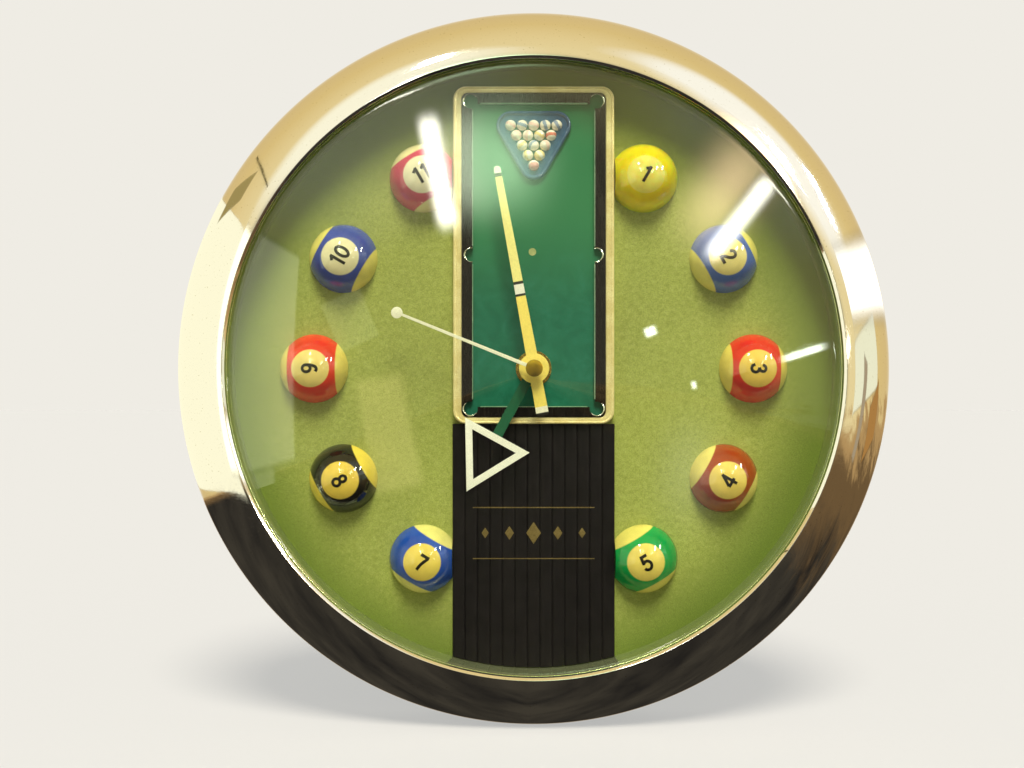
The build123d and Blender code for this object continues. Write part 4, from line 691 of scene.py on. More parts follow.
def smoothRun(points, joined, stepMm):
    # a curve that passes through every point, sampled evenly enough to follow the ball
    count = len(points)
    run = []
    for i in range(count if joined else count - 1):
        near = [(i + k) % count if joined else min(max(i + k, 0), count - 1) for k in (-1, 0, 1, 2)]
        a, b, c, d = (Vector(points[index]) for index in near)
        steps = max(1, int((c - b).length / stepMm + 0.5))
        for t in (k / steps for k in range(steps)):
            squared, cubed = (2 * a - 5 * b + 4 * c - d) * t * t, (3 * b - a - 3 * c + d) * t ** 3
            run.append(0.5 * (2 * b + (c - a) * t + squared + cubed))
    return run if joined else run + [Vector(points[-1])]


def ballFigure(name, words, place, turn):
    # the figure is a layer of ink that follows the ball
    tall, ink = figureFacts["tall"], figureFacts["ink"]
    apart = figureFacts["apartNarrow" if words == "11" else "apart"]
    solids = []
    for i, digit in enumerate(words):
        shift = (i - (len(words) - 1) / 2) * apart
        for kind, points in figureStrokes[digit]:
            joined = kind == "oval"
            placed = [((x + shift) * tall, (y - 0.5) * tall) for x, y in points]
            run = smoothRun(placed, joined, figureFacts["stepMm"])
            rings = []
            for k, here in enumerate(run):
                before = run[k - 1] if joined or k else here
                after = run[(k + 1) % len(run)] if joined or k < len(run) - 1 else here
                side = (after - before).normalized().orthogonal() * figureFacts["stroke"] * tall / 2
                ring = []
                for spot, lift in ((here - side, 0), (here + side, 0), (here + side, ink), (here - side, ink)):
                    spot = Matrix.Rotation(radians(turn), 2) @ spot
                    onBall = sqrt(ballFacts["radius"] ** 2 - spot.length_squared)
                    ring.append((spot.x, spot.y, onBall + lift - figureFacts["sunk"]))
                rings.append(ring)
            solids.append((rings, joined))
    return sweepObject(name, solids, place, 30)


inkMaterial = plainStock("screenPrintInk", {  # solvent ink, nearly flat, a little worn
    "dark": "#14110b", "light": "#241f14", "grainMm": 0.4, "rough": (0.25, 0.4), "relief": 0.1, "edgeMm": 0.02})
for hour, (bandTone, bodyTone, discTone, upright, slotName, glow) in ballTones.items():
    ballPlace = dialPlace(hour * 30, ballFacts["ring"], ballFacts["felt"] + ballFacts["height"] - ballFacts["radius"])
    settle(halfBall(f"halfBall{hour:02d}", ballPlace, ballFacts["cutSides"].get(hour, 0)), "case",
           castResin(f"castResinBall{hour:02d}", bandTone, bodyTone, discTone, *glow), slotName, f"ball_{hour:02d}")
    figure = ballFigure(f"ballFigure{hour:02d}", str(hour), ballPlace, 0 if upright else 180)
    settle(figure, "case", inkMaterial, slotName)
print("balls set")


# Table relief: gilt rim, stained rails, cushions and pocket irons around green cloth

tableFacts = {
    "halfWidth": 33.8, "bottom": -23.2, "top": 118.3, "corner": 5.4, "sideRim": 3.6, "endRim": 2.8, "felt": 23.5,
    "bedFront": 24.9, "railRise": 2.2, "railSide": 4.4, "railEnd": 4.2, "pocket": 3.1}
tableMiddle = (tableFacts["top"] + tableFacts["bottom"]) / 2
tableHalf = (tableFacts["top"] - tableFacts["bottom"]) / 2
clothHalfWidth = tableFacts["halfWidth"] - tableFacts["sideRim"] - tableFacts["railSide"]
clothHalfHeight = tableHalf - tableFacts["endRim"] - tableFacts["railEnd"]
noseFront = tableFacts["bedFront"] + tableFacts["railRise"]


def rimLoop(share, rise, steps=10):
    # one loop around the rim, at a share of its width from outside in and a height above the felt
    halfWidth = tableFacts["halfWidth"] - share * tableFacts["sideRim"]
    halfHeight, corner = tableHalf - share * tableFacts["endRim"], tableFacts["corner"] - share * tableFacts["endRim"]
    loop = []
    for quarter, (sideX, sideY) in enumerate(((1, 1), (1, -1), (-1, -1), (-1, 1))):
        for turn in (pi / 2 * (quarter + k / steps) for k in range(steps + 1)):
            loop.append((sideX * (halfWidth - corner) + corner * sin(turn),
                         tableMiddle + sideY * (halfHeight - corner) + corner * cos(turn), tableFacts["felt"] + rise))
    return loop


rimSection = roundCorners([  # a raised outer bead and a flatter inner band, as drawn trim has
    (0.0, 0.0), (0.0, 3.3, 0.10), (0.08, 3.85, 0.10), (0.22, 4.0, 0.1), (0.36, 3.8, 0.08), (0.42, 3.45, 0.05),
    (0.50, 3.5, 0.05), (0.90, 3.4, 0.08), (1.0, 3.0, 0.08), (1.0, 0.0)], 3)
giltMaterial = plainStock("goldAnodisedAluminium", {  # drawn trim, satin brushed along its length, dyed pale gold
    "dark": "#e0c882", "light": "#fdeeb4", "metallic": 0.22, "grainMm": 0.5, "rough": (0.26, 0.40), "coat": 0.2,
    "relief": 0.15, "reliefMm": 0.02, "edgeMm": 0.15})
settle(sweepObject("tableRim", [([rimLoop(*point) for point in rimSection], True)], dialPlace(), 30),
       "case", giltMaterial, "gilt_metal", "table_frame")

baizeMaterial = woollenCloth("napLessBaize", {  # worsted cloth: even, tight, deep green, with painted sheen lighter towards the top
    "deep": "#14614a", "mid": "#1b6b52", "pale": "#267560", "clumpMm": 9.0, "fibreMm": 0.35, "shadeMm": 60.0,
    "fleck": (0.90, 1.08), "topSheenPainted": (16.0, 72.0, "#3a8456")})
railMaterial = plainStock("stainedHardwood", {  # dark stained rails under varnish, grain along the table
    "dark": "#0c0706", "light": "#19110d", "grainMm": 1.2, "stretch": (1.0, 1.0, 0.12), "gloss": 0.3,
    "rough": (0.18, 0.34), "coat": 0.25, "relief": 0.2, "edgeMm": 0.35})

noseFacts = {"widthMm": 0.34, "proudMm": 0.12, "inset": 0.28, "pocketGap": 0.2, "sideGap": 0.4}
noseMaterial = plainStock("cushionNoseLineAndHighlight", {  # thin pale strip along the cushion nose: partly a printed pale line, partly painted highlight where the edge catches the light
    "dark": "#5d8a6c", "light": "#a9c4a4", "grainMm": 0.5, "rough": (0.4, 0.6), "relief": 0.5, "edgeMm": 0.05})


def cushionNoses(facts):
    # one eased strip along each cushion, between the pockets
    half, clear = facts["widthMm"] / 2, tableFacts["pocket"] + facts["pocketGap"]
    endRun, sideClear = clothHalfWidth - clear, clear + facts["sideGap"]
    strips = []
    for side in (-1, 1):
        x, y = side * (clothHalfWidth - half), tableMiddle + side * (clothHalfHeight - half)
        for low, high in ((clear - clothHalfHeight, -sideClear), (sideClear, clothHalfHeight - clear)):
            strips.append((x - half, x + half, tableMiddle + low, tableMiddle + high))
        strips.append((-endRun, endRun, y - half, y + half))
    inset, front = facts["widthMm"] * facts["inset"], noseFront + facts["proudMm"]
    levels = ((0, tableFacts["bedFront"]), (0, front - inset), (inset, front))
    return [([rectangle(left + grow, right - grow, low + grow, high - grow, depth) for grow, depth in levels], False)
            for left, right, low, high in strips]


settle(sweepObject("cushionNoseStrips", cushionNoses(noseFacts), dialPlace(), 20), "case", noseMaterial, "table_cloth")

ironFacts = {
    "tube": 0.42, "spread": 200.0, "steps": 28, "sides": 8, "lap": 0.15, "sunk": 0.1, "taper": (0.06, 0.88),
    "cornerOut": 0.75, "sideOut": 0.25}
ironMaterial = plainStock("platedPocketIron", {  # small plated castings, bright on their upper edge
    "dark": "#a9ada2", "light": "#f2f2ea", "metallic": 1.0, "grainMm": 0.6, "rough": (0.12, 0.25), "relief": 0.1,
    "edgeMm": 0.05})


def pocketIron(centre, facing, facts):
    # a half ring around the outer side of a pocket, thinner towards its ends
    steps, sides, (starts, run) = facts["steps"], facts["sides"], facts["taper"]
    rings = []
    for share in (k / steps for k in range(steps + 1)):
        turn = radians(facing + facts["spread"] * (share - 0.5))
        tube = facts["tube"] * sin(pi * (starts + run * share)) ** 0.5
        ring = []
        for around in (2 * pi * s / sides for s in range(sides)):
            reach = tableFacts["pocket"] - facts["lap"] + tube * cos(around)
            ring.append((centre[0] + reach * sin(turn), tableMiddle + centre[1] + reach * cos(turn),
                         noseFront - facts["sunk"] + tube * sin(around)))
        rings.append(ring)
    return rings, False


cornerX, cornerY = clothHalfWidth + ironFacts["cornerOut"], clothHalfHeight + ironFacts["cornerOut"]
sideX = clothHalfWidth + ironFacts["sideOut"]
pockets = [((cornerX, cornerY), 45), ((cornerX, -cornerY), 135),
           ((-cornerX, -cornerY), 225), ((-cornerX, cornerY), 315),
           ((sideX, 0), 90), ((-sideX, 0), 270)]
settle(sweepObject("pocketIrons", [pocketIron(spot, facing, ironFacts) for spot, facing in pockets], dialPlace()),
       "case", ironMaterial, "zinc_steel")

spotFacts = {"at": (-0.5, 49.1), "radius": 1.6, "thick": 0.08, "round": 0.04}
spotMaterial = plainStock("pressedPaperSpot", {  # stamped fibre disc, dull tan
    "dark": "#8f9a5c", "light": "#c2c184", "grainMm": 0.4, "rough": (0.7, 0.9), "edgeMm": 0.02})
spotRadius, spotThick = spotFacts["radius"], spotFacts["thick"]
spotProfile = roundCorners([(0, 0), (spotRadius, 0), (spotRadius, spotThick, spotFacts["round"]), (0, spotThick)])
spotPlace = dialPlace(0, 0, tableFacts["bedFront"]) @ Matrix.Translation(Vector(spotFacts["at"] + (0,)) * mm)
settle(latheObject("footSpot", spotProfile, spotPlace, 40), "case", spotMaterial, "table_cloth")
print("table built")


# Rack: a moulded triangle and fifteen balls

rackFacts = {  # the section runs over the triangle's bead: how far in from its outer edge, and how high
    "pitch": 4.85, "rows": 5, "firstRow": 102.1, "margin": 6.0, "plate": 1.2, "inner": 0.6,
    "section": ((0, 0), (0, 1.3), (0.25, 1.75), (0.7, 2.0), (1.15, 1.9), (1.5, 1.5), (1.7, 1.2)),
    "ballRadius": 2.32, "ballHeight": 2.1, "rings": 9, "spokes": 28, "bandHalf": 0.30, "bandShare": 0.55, "seed": 7}
rackTones = ["#f7ecd9", "#f2c9bb", "#d7694f", "#f0d68e", "#e79a98", "#8f9bb4"]
rackStep = rackFacts["pitch"] * sqrt(3) / 2
rackHalf = (rackFacts["rows"] - 1) * rackFacts["pitch"] / 2
rackCorners = ((-rackHalf, rackFacts["firstRow"]), (rackHalf, rackFacts["firstRow"]),
               (0, rackFacts["firstRow"] - (rackFacts["rows"] - 1) * rackStep))


def triangleLoop(radius, rise):
    return [(x, y, tableFacts["bedFront"] + rise) for corner, start in zip(rackCorners, (-120, 0, 120))
            for x, y in arcPoints(corner, radius, start, start + 120, 14)]


rackMaterial = plainStock("mouldedPolystyrene", {  # glossy moulded triangle, deep blue
    "dark": "#28466f", "light": "#3f6488", "grainMm": 2.0, "rough": (0.14, 0.3), "coat": 0.3, "relief": 0.1,
    "edgeMm": 0.2})
rackSection = [(rackFacts["margin"] - inset, rise) for inset, rise in rackFacts["section"]]
rackSection += [(rackFacts["inner"], rackFacts["plate"]), (rackFacts["inner"], 0)]
settle(sweepObject("rackTray", [([triangleLoop(*point) for point in rackSection], True)], dialPlace(), 30),
       "case", rackMaterial, "rack_blue", "rack_triangle")


def rackedBalls(name, facts):
    # low domes from one mesh, with a broad band in a second tone across some and a plain cap on others
    draw = Random(facts["seed"])
    radius, rows, rings, spokes = facts["ballRadius"], facts["rows"], facts["rings"], facts["spokes"]
    lowest = radius - facts["ballHeight"]
    widest = acos(lowest / radius)
    vertices, faces, picks = [], [], []
    for row, place in ((row, place) for row in range(rows) for place in range(rows - row)):
        centre = Vector(((place - (rows - row - 1) / 2) * facts["pitch"], facts["firstRow"] - row * rackStep,
                         tableFacts["bedFront"] + facts["plate"] - lowest))
        bandAxis = Vector((draw.uniform(-1, 1), draw.uniform(-1, 1), draw.uniform(-0.4, 0.4))).normalized()
        banded = draw.random() < facts["bandShare"]
        bodyPick, bandPick = (0, draw.choice([1, 2, 3, 5])) if banded else (draw.choice([1, 3, 4]), 0)
        first = len(vertices)
        vertices.append(centre + Vector((0, 0, radius)))
        for lean in (widest * ring / rings for ring in range(1, rings + 1)):
            for turn in (2 * pi * k / spokes for k in range(spokes)):
                vertices.append(centre + radius * Vector((sin(lean) * cos(turn), sin(lean) * sin(turn), cos(lean))))
        starts = [first + 1 + ring * spokes for ring in range(rings)]
        ballFaces = [[first, starts[0] + k, starts[0] + (k + 1) % spokes] for k in range(spokes)]
        for a, b in zip(starts, starts[1:]):
            ballFaces += [[a + k, b + k, b + (k + 1) % spokes, a + (k + 1) % spokes] for k in range(spokes)]
        ballFaces.append([starts[-1] + k for k in reversed(range(spokes))])
        for face in ballFaces:
            middle = sum((vertices[i] for i in face), Vector()) / len(face) - centre
            picks.append(bandPick if abs(middle.normalized().dot(bandAxis)) < facts["bandHalf"] else bodyPick)
        faces += ballFaces
    return meshObject(name, vertices, faces, dialPlace(), 50), picks


rackBalls, picks = rackedBalls("rackBalls", rackFacts)
settle(rackBalls, "case", [plainStock(f"castResinSmall{i}", {  # small cast balls, glossy, one tone each
    "dark": tone, "light": tone, "grainMm": 0.8, "rough": (0.1, 0.2), "coat": 0.3, "relief": 0.05, "edgeMm": 0.05})
    for i, tone in enumerate(rackTones)], "rack_cream", "rack_balls")
for face, pick in zip(rackBalls.data.polygons, picks):
    face.material_index = pick
print("rack filled")


# Lower strip: grooved plastic, with a plain foil motif of five diamonds between two rules

stripFacts = {
    "halfWidth": 34.1, "top": -23.3, "endRadius": 125.8, "back": 23.5, "front": 24.7, "edge": 0.25,
    "groovePitch": 5.25, "grooves": 12, "grooveWide": 0.9, "grooveDeep": 0.5}
stripMaterial = plainStock("extrudedAbsBlack", {  # grooved strip, dull black with fine lines along the grooves
    "dark": "#0c080b", "light": "#181317", "gloss": 0.2, "grainMm": 0.5, "stretch": (1.0, 1.0, 0.04),
    "rough": (0.42, 0.6), "relief": 0.35, "reliefMm": 0.04, "edgeMm": 0.12})


def stripRings(facts):
    # slices across the strip: flat lands, rounded grooves and an end that follows the dial
    halfWidth, edge, pitch, back = facts["halfWidth"], facts["edge"], facts["groovePitch"], facts["back"]
    stations = {(-halfWidth, edge), (-halfWidth + edge, 0.0), (halfWidth - edge, 0.0), (halfWidth, edge)}
    for i in range(facts["grooves"]):
        x = (i - (facts["grooves"] - 1) / 2) * pitch
        for share in (k / 6 for k in range(-6, 7)):
            stations.add((x + share * facts["grooveWide"] / 2, facts["grooveDeep"] * (0.5 + 0.5 * cos(pi * share))))
        stations.add((x + pitch / 2, 0.0))
    slices = []
    for x, drop in sorted(stations):
        end, front = -sqrt(facts["endRadius"] ** 2 - x * x), facts["front"] - drop
        slices.append([(x, facts["top"], back), (x, facts["top"], front), (x, end, front), (x, end, back)])
    return slices


settle(sweepObject("groovedStrip", [(stripRings(stripFacts), False)], dialPlace(), 40),
       "case", stripMaterial, "panel_black", "lower_panel")

motifFacts = {
    "sunk": 0.02, "thick": 0.09, "halfRule": 25.6, "ruleMm": 0.42, "rules": (-58.5, -80.0), "diamondY": -69.2,
    "diamonds": ((-20.4, 1.5), (-10.2, 1.9), (0.0, 3.1), (10.2, 1.9), (20.4, 1.5)), "slim": 1.5}
motifMaterial = plainStock("goldFoilPrint", {  # hot foil print, dulled with age
    "dark": "#6b5830", "light": "#96804c", "metallic": 0.4, "grainMm": 0.5, "rough": (0.3, 0.5), "relief": 0.2,
    "edgeMm": 0.03})


def foilOutlines(facts):
    halfRule, halfWide, middle = facts["halfRule"], facts["ruleMm"] / 2, facts["diamondY"]
    outlines = [[(-halfRule, y - halfWide), (halfRule, y - halfWide),
                 (halfRule, y + halfWide), (-halfRule, y + halfWide)]
                for y in facts["rules"]]
    for x, reach in facts["diamonds"]:
        tall = reach * facts["slim"]
        outlines.append([(x, middle - tall), (x + reach, middle), (x, middle + tall), (x - reach, middle)])
    return outlines


foilMotif = plateObject("foilMotif", foilOutlines(motifFacts), stripFacts["front"] - motifFacts["sunk"],
                        stripFacts["front"] + motifFacts["thick"], edge=motifFacts["sunk"])
foilMotif.data.transform(foilMotif.matrix_world)
foilMotif.matrix_world = Matrix.Identity(4)
settle(foilMotif, "case", motifMaterial, "gilt_metal")
print("strip dressed")


# Hands: stamped aluminium, enamelled

handFacts = {
    "hour": {"angle": 208.7, "back": 30.5, "front": 31.0, "edge": 0.1, "bore": 2.57, "hub": 4.6, "reach": 58.4,
             "arm": 4.2, "triangle": 26.8, "half": 15.3, "stroke": 2.9},
    "minute": {"angle": 349.5, "back": 35.0, "front": 35.5, "edge": 0.1, "bore": 1.62, "hub": 6.2, "reach": 84.8,
               "tail": 20.2, "tip": 2.9, "butt": 5.2, "hubAt": 5.4},
    "second": {"angle": 292.0, "back": 38.2, "front": 38.7, "edge": 0.1, "bore": 1.12, "hub": 2.2, "reach": 60.7,
               "bead": 2.35, "root": 1.5, "tip": 1.1},
}
handTones = {  # tones along each hand, each from a distance beyond the axis
    "hour": [(-99, "#0d5b3b"), (31.6, "#fffcec")],
    "minute": [(-99, "#17120c"), (-18.6, "#faf3d6"), (-16.1, "#fde26a"), (30.2, "#1a140e"), (31.2, "#f6f0e0"),
               (35.2, "#1a140e"), (36.4, "#fcee90"), (80.3, "#3a2c1d"), (81.8, "#f7f4e2")],
    "second": [(-99, "#f8f3d8")],
}
enamelFacts = {"blurMm": 0.06, "speckMm": 0.9, "fade": (0.93, 1.04), "rough": (0.32, 0.46), "reliefMm": 0.02}


def stovedEnamel(name, bands):
    # stoved enamel on aluminium: satin, thick at its edges, colours masked in bands across the hand
    material, tree, shader = newMaterial(name)
    place = objectMillimetres(tree)
    along = addNode(tree, "SeparateXYZ", [place], "Y")
    tone = bands[0][1]
    for start, following in bands[1:]:
        step = addNode(tree, "MapRange", [along, start - enamelFacts["blurMm"], start + enamelFacts["blurMm"]])
        tone = addNode(tree, "Mix", {0: step, 6: tone, 7: following}, 2, data_type="RGBA")
    speck = addNode(tree, "TexNoise", {"Vector": place, "Scale": 1 / enamelFacts["speckMm"], "Detail": 4.0})
    fade = addNode(tree, "MapRange", [speck, 0.3, 0.7, *enamelFacts["fade"]])
    whole = linearTone(tone)[:3] if isinstance(tone, str) else tone
    colour = addNode(tree, "VectorMath", {0: whole, "Scale": fade}, operation="SCALE")
    rough = addNode(tree, "MapRange", [speck, 0.3, 0.7, *enamelFacts["rough"]])
    relief = addNode(tree, "Bump", {"Strength": 0.2, "Distance": enamelFacts["reliefMm"] * mm, "Height": speck})
    setSockets(shader, {"Base Color": colour, "Roughness": rough, "Normal": relief, "Coat Weight": 0.25,
                        "Coat Roughness": 0.15})
    return material


def cueOutline(facts):
    # a tapered cue with a round tip and a flattened butt, and a hub between them
    reach, tail, hub, tip, flat = facts["reach"], facts["tail"], facts["hub"], facts["tip"] / 2, facts["butt"] / 4
    widen = (facts["butt"] / 2 - tip) / (reach - tip + tail - flat)
    upper, lower = (degrees(asin((tip + widen * (reach - tip - y)) / hub)) for y in (facts["hubAt"], -facts["hubAt"]))
    right = arcPoints((0, 0), hub, upper, 180 - lower, 28)
    butt = [(2 * flat * cos(radians(a)), flat - tail - flat * sin(radians(a))) for a in range(0, 181, 15)]
    return arcPoints((0, reach - tip), tip, -90, 90, 12) + right + butt + [(-x, y) for x, y in reversed(right)]


def arrowOutlines(facts):
    # an arm that ends in an open triangle
    half, stroke, reach, arm = facts["half"], facts["stroke"], facts["reach"], facts["arm"] / 2
    base, slant = reach - facts["triangle"], hypot(half, facts["triangle"])
    innerHalf = half - stroke * (half + slant) / facts["triangle"]
    hubTurn = degrees(asin(arm / facts["hub"]))
    outline = [(arm, base), (half, base), (0, reach), (-half, base), (-arm, base)]
    outline += arcPoints((0, 0), facts["hub"], -hubTurn, hubTurn - 360, 36)
    return outline, [(-innerHalf, base + stroke), (innerHalf, base + stroke), (0, reach - stroke * slant / half)]


def pointerOutline(facts):
    # a slim pointer from the hub to a bead
    beadTurn = degrees(asin(facts["tip"] / 2 / facts["bead"]))
    hubTurn = degrees(asin(facts["root"] / 2 / facts["hub"]))
    return (arcPoints((0, facts["reach"]), facts["bead"], 180 - beadTurn, beadTurn - 180, 36)
            + arcPoints((0, 0), facts["hub"], -hubTurn, hubTurn - 360, 32))


for hand, name, materialName, slotName, outlines, boreSteps in (
        ("minute", "minuteHandCue", "cueEnamel", "yellow_enamel", [cueOutline(handFacts["minute"])], 48),
        ("hour", "hourHandArrow", "hourHandEnamel", "green_enamel", [*arrowOutlines(handFacts["hour"])], 48),
        ("second", "secondHandPointer", "secondHandEnamel", "white_enamel", [pointerOutline(handFacts["second"])], 24)):
    facts = handFacts[hand]
    plate = plateObject(name, outlines + [circleOutline(facts["bore"], boreSteps)], facts["back"], facts["front"],
                        dialPlace(facts["angle"]), facts["edge"])
    settle(plate, hand, stovedEnamel(materialName, handTones[hand]), slotName, hand + "_hand")

capFacts = {
    "radius": 3.5, "height": 1.9, "edge": 1.45, "seat": 38.7, "tube": 1.1, "tubeBack": 37.1, "bore": 0.52,
    "boreEnd": 38.92, "ease": 0.1}


def turnedBrass(name, facts):
    # turned bar stock: fine rings left by the tool, warm and a little tarnished
    material, tree, shader = newMaterial(name)
    place = objectMillimetres(tree)
    turns = addNode(tree, "Math", [distanceAcross(tree, place, facts["across"]), 2 * pi / facts["ringMm"]],
                    operation="MULTIPLY")
    rings = addNode(tree, "Math", [turns], operation="SINE")
    stain = addNode(tree, "TexNoise", {"Vector": place, "Scale": 1 / facts["stainMm"], "Detail": 5.0})
    colour = addNode(tree, "Mix", {0: stain, 6: facts["dark"], 7: facts["light"]}, 2, data_type="RGBA")
    rough = addNode(tree, "MapRange", [stain, 0.3, 0.7, *facts["rough"]])
    edges = addNode(tree, "Bevel", [0.15 * mm], samples=4)
    relief = addNode(tree, "Bump", {"Strength": 0.25, "Distance": 0.01 * mm, "Height": rings, "Normal": edges})
    setSockets(shader, {"Metallic": 1.0, "Base Color": colour, "Roughness": rough, "Normal": relief})
    return material


def capProfile(facts):
    # a shallow dome over a tube that grips the seconds arbor
    radius, seat, tube, bore = facts["radius"], facts["seat"], facts["tube"], facts["bore"]
    rise = facts["height"] - facts["edge"]
    curve = (radius ** 2 + rise ** 2) / (2 * rise)
    return arcPoints((0, seat + facts["height"] - curve), curve, 0, degrees(asin(radius / curve)), 14) + [
        (radius, seat + facts["ease"]), (radius - facts["ease"], seat), (tube, seat), (tube, facts["tubeBack"]),
        (bore, facts["tubeBack"]), (bore, facts["boreEnd"]), (0, facts["boreEnd"])]


brassMaterial = turnedBrass("turnedBrass", {
    "dark": "#c8992f", "light": "#f6d676", "rough": (0.18, 0.32), "ringMm": 0.35, "stainMm": 2.5, "across": (1, 0, 1)})
capMaterial = turnedBrass("tarnishedBrass", {
    "dark": "#8a6c18", "light": "#b5942e", "rough": (0.36, 0.50), "ringMm": 0.5, "stainMm": 2.5, "across": (1, 1, 0)})
settle(latheObject("secondsCap", capProfile(capFacts), dialPlace(), 64),
       "second", capMaterial, "turned_brass", "second_cap")
print("hands fitted")


# Battery: a plain two-tone sleeve and bare steel ends

batteryFacts = {
    "length": 49.0, "centre": (-0.6, -11.05, -21.15),
    "sleeve": ("#23262c", "#b9b3a2"), "steel": "#c9c6bd", "bandAt": 10.0, "steelWithin": 6.35, "scuffMm": 2.0,
    "blurMm": 0.1,
    # radius, height beyond the end and corner: the pressed base, and the crimped top around the button
    "base": ((0, 0), (5.2, 0, 0.2), (5.5, 0.35, 0.2), (6.3, 0.35, 0.15), (6.6, 0, 0.15), (7.1, 0, 0.5)),
    "crimp": ((7.1, 0, 0.6), (6.0, 0, 0.3), (5.6, -0.4, 0.2), (3.6, -0.4, 0.2), (3.2, 0, 0.2), (2.75, 0, 0.15),
              (2.75, 1.4, 0.35), (0, 1.4))}


def cellProfile(facts):
    end = facts["length"] / 2
    base = [(radius, rise - end, *corner) for radius, rise, *corner in facts["base"]]
    return roundCorners(base + [(radius, end + rise, *corner) for radius, rise, *corner in facts["crimp"]], 4)


def shrinkSleeve(name, facts):
    # shrunk PVC sleeve over a drawn steel can: two plain colours, bare nickelled steel at both ends
    material, tree, shader = newMaterial(name)
    place = objectMillimetres(tree)
    height, (darkTone, paleTone) = addNode(tree, "SeparateXYZ", [place], "Z"), facts["sleeve"]
    band = addNode(tree, "MapRange", [height, facts["bandAt"] - facts["blurMm"], facts["bandAt"] + facts["blurMm"]])
    bare = addNode(tree, "Math", [distanceAcross(tree, place), facts["steelWithin"]], operation="LESS_THAN")
    sleeve = addNode(tree, "Mix", {0: band, 6: darkTone, 7: paleTone}, 2, data_type="RGBA")
    colour = addNode(tree, "Mix", {0: bare, 6: sleeve, 7: facts["steel"]}, 2, data_type="RGBA")
    scuff = addNode(tree, "TexNoise", {"Vector": place, "Scale": 1 / facts["scuffMm"], "Detail": 5.0})
    rough = addNode(tree, "MapRange", [scuff, 0.3, 0.7, 0.22, 0.38])
    setSockets(shader, {"Base Color": colour, "Metallic": bare, "Roughness": rough, "Coat Weight": 0.3,
                        "Coat Roughness": 0.1})
    return material


batteryPlace = Matrix.Translation(Vector(batteryFacts["centre"]) * mm) @ Matrix.Rotation(pi / 2, 4, "Y")
settle(latheObject("batteryCell", cellProfile(batteryFacts), batteryPlace, 72),
       "battery", shrinkSleeve("shrinkSleeveOverSteel", batteryFacts), "battery_sleeve", "battery")
print("battery fitted")


# Carried-over solids: each gets the finish of its real stock

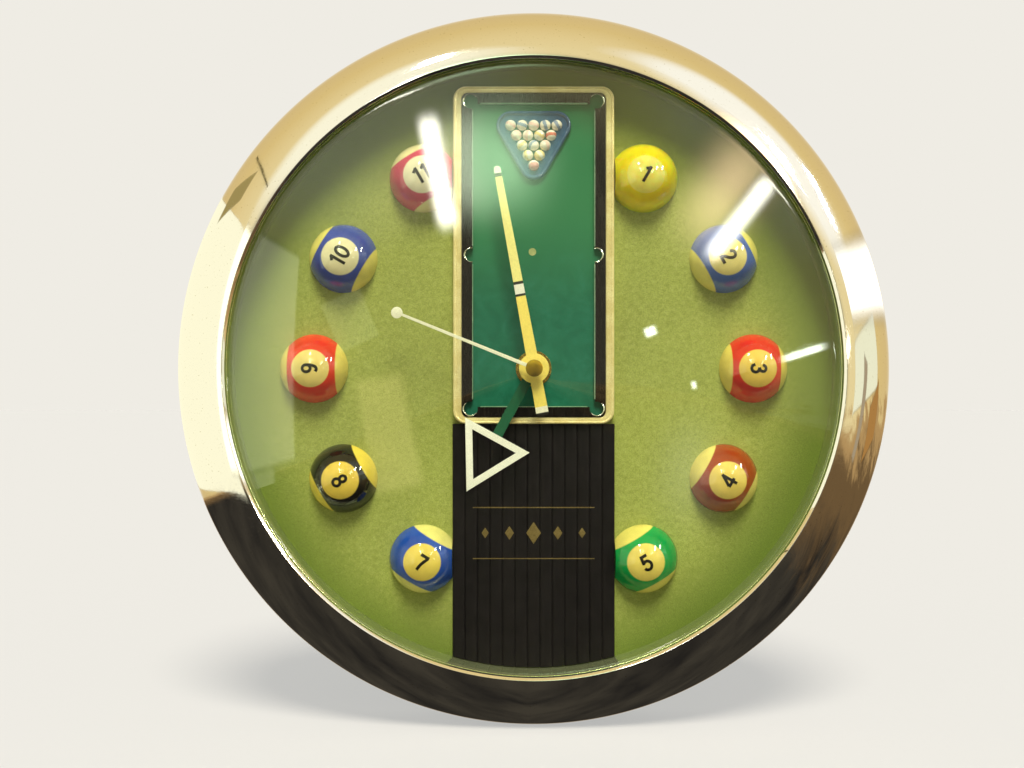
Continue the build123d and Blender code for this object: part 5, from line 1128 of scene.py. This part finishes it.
stocks = {
    "mouldedBlackAbs": ({  # spark-eroded mould, even dull grain, edges rubbed a little paler
        "dark": "#0f0f10", "light": "#1e1e20", "grainMm": 0.45, "rough": (0.45, 0.62), "relief": 0.45,
        "reliefMm": 0.06, "edgeMm": 0.35}, "rear_case", "movement_front", "movement_back"),
    "zincPlatedSteel": ({  # bright zinc with a faint yellow passivation
        "dark": "#8f8b7e", "light": "#c9c5b6", "metallic": 1.0, "grainMm": 1.4, "rough": (0.25, 0.45), "relief": 0.15,
        "edgeMm": 0.2}, "case_screws", "hanger_plate", "hanger_screws"),
    "pressedHardboard": ({  # brown wood fibre, hard and waxy
        "dark": "#3d2817", "light": "#6b4a2c", "grainMm": 0.8, "rough": (0.5, 0.7), "relief": 0.5, "reliefMm": 0.05,
        "edgeMm": 0.1}, "dial_plate"),
    "naturalAcetal": ({  # milky, waxy, self-coloured
        "dark": "#cfcfc4", "light": "#e6e6dc", "grainMm": 1.6, "rough": (0.3, 0.45), "relief": 0.1, "edgeMm": 0.08},
        "middle_plate", "second_wheel", "third_wheel", "fifth_wheel", "minute_wheel", "hour_wheel"),
    "mouldedNylon": ({  # creamy, dull
        "dark": "#cdcbc2", "light": "#e8e6de", "grainMm": 1.0, "rough": (0.4, 0.55), "relief": 0.15, "edgeMm": 0.1},
        "coil_bobbin"),
    "sinteredFerrite": ({  # grey-black, gritty
        "dark": "#1b1b1d", "light": "#2c2c2f", "grainMm": 0.3, "rough": (0.5, 0.7), "relief": 0.3, "edgeMm": 0.1},
        "rotor"),
    "mouldedGreyAbs": ({  # dull mid grey
        "dark": "#77777a", "light": "#98989a", "grainMm": 0.5, "rough": (0.4, 0.55), "relief": 0.3, "edgeMm": 0.12},
        "setting_knob"),
    "annealedIron": ({  # stamped soft iron, dull grey with rolling lines
        "dark": "#5e5e5c", "light": "#8b8b88", "metallic": 1.0, "grainMm": 0.5, "stretch": (0.15, 1.0, 1.0),
        "rough": (0.35, 0.5), "relief": 0.2, "edgeMm": 0.08}, "stator_plate", "coil_core"),
    "nickelPlatedStrip": ({  # bright spring strip
        "dark": "#a3a197", "light": "#d6d3c8", "metallic": 1.0, "grainMm": 0.9, "rough": (0.15, 0.3), "relief": 0.1,
        "edgeMm": 0.08}, "contact_positive", "contact_negative", "quartz_crystal"),
    "enamelledCopperWire": ({  # wound wire: lines side by side, lacquer makes it red-gold
        "dark": "#6d2e12", "light": "#c66a31", "metallic": 1.0, "grainMm": 0.18, "stretch": (1.0, 0.05, 0.05),
        "rough": (0.25, 0.4), "relief": 0.7, "reliefMm": 0.05, "edgeMm": 0.05}, "coil_winding"),
    "solderMaskLaminate": ({  # glossy green over glass cloth
        "dark": "#0e4a28", "light": "#1f6b3c", "grainMm": 1.2, "rough": (0.25, 0.4), "coat": 0.3, "relief": 0.1,
        "edgeMm": 0.05}, "circuit_board"),
    "castEpoxy": ({  # black glob, shiny
        "dark": "#0b0b0b", "light": "#191817", "grainMm": 1.5, "rough": (0.1, 0.25), "coat": 0.2, "relief": 0.1,
        "edgeMm": 0.05}, "driver_chip"),
    "mouldedRubber": ({  # dead black
        "dark": "#141414", "light": "#232323", "grainMm": 0.4, "rough": (0.6, 0.8), "relief": 0.3, "edgeMm": 0.15},
        "rubber_washer"),
}
finishes = [(plainStock(name, facts), nodeNames) for name, (facts, *nodeNames) in stocks.items()]
finishes += [(brassMaterial, ["mounting_washer", "mounting_nut", "centre_wheel", "cannon_pinion"]),
             (baizeMaterial, ["table_bed"]), (railMaterial, ["table_rails"])]
for material, nodeNames in finishes:
    for nodeName in nodeNames:
        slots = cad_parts[nodeName].data.materials
        slots.clear()
        slots.append(material)
print("stock finishes set")
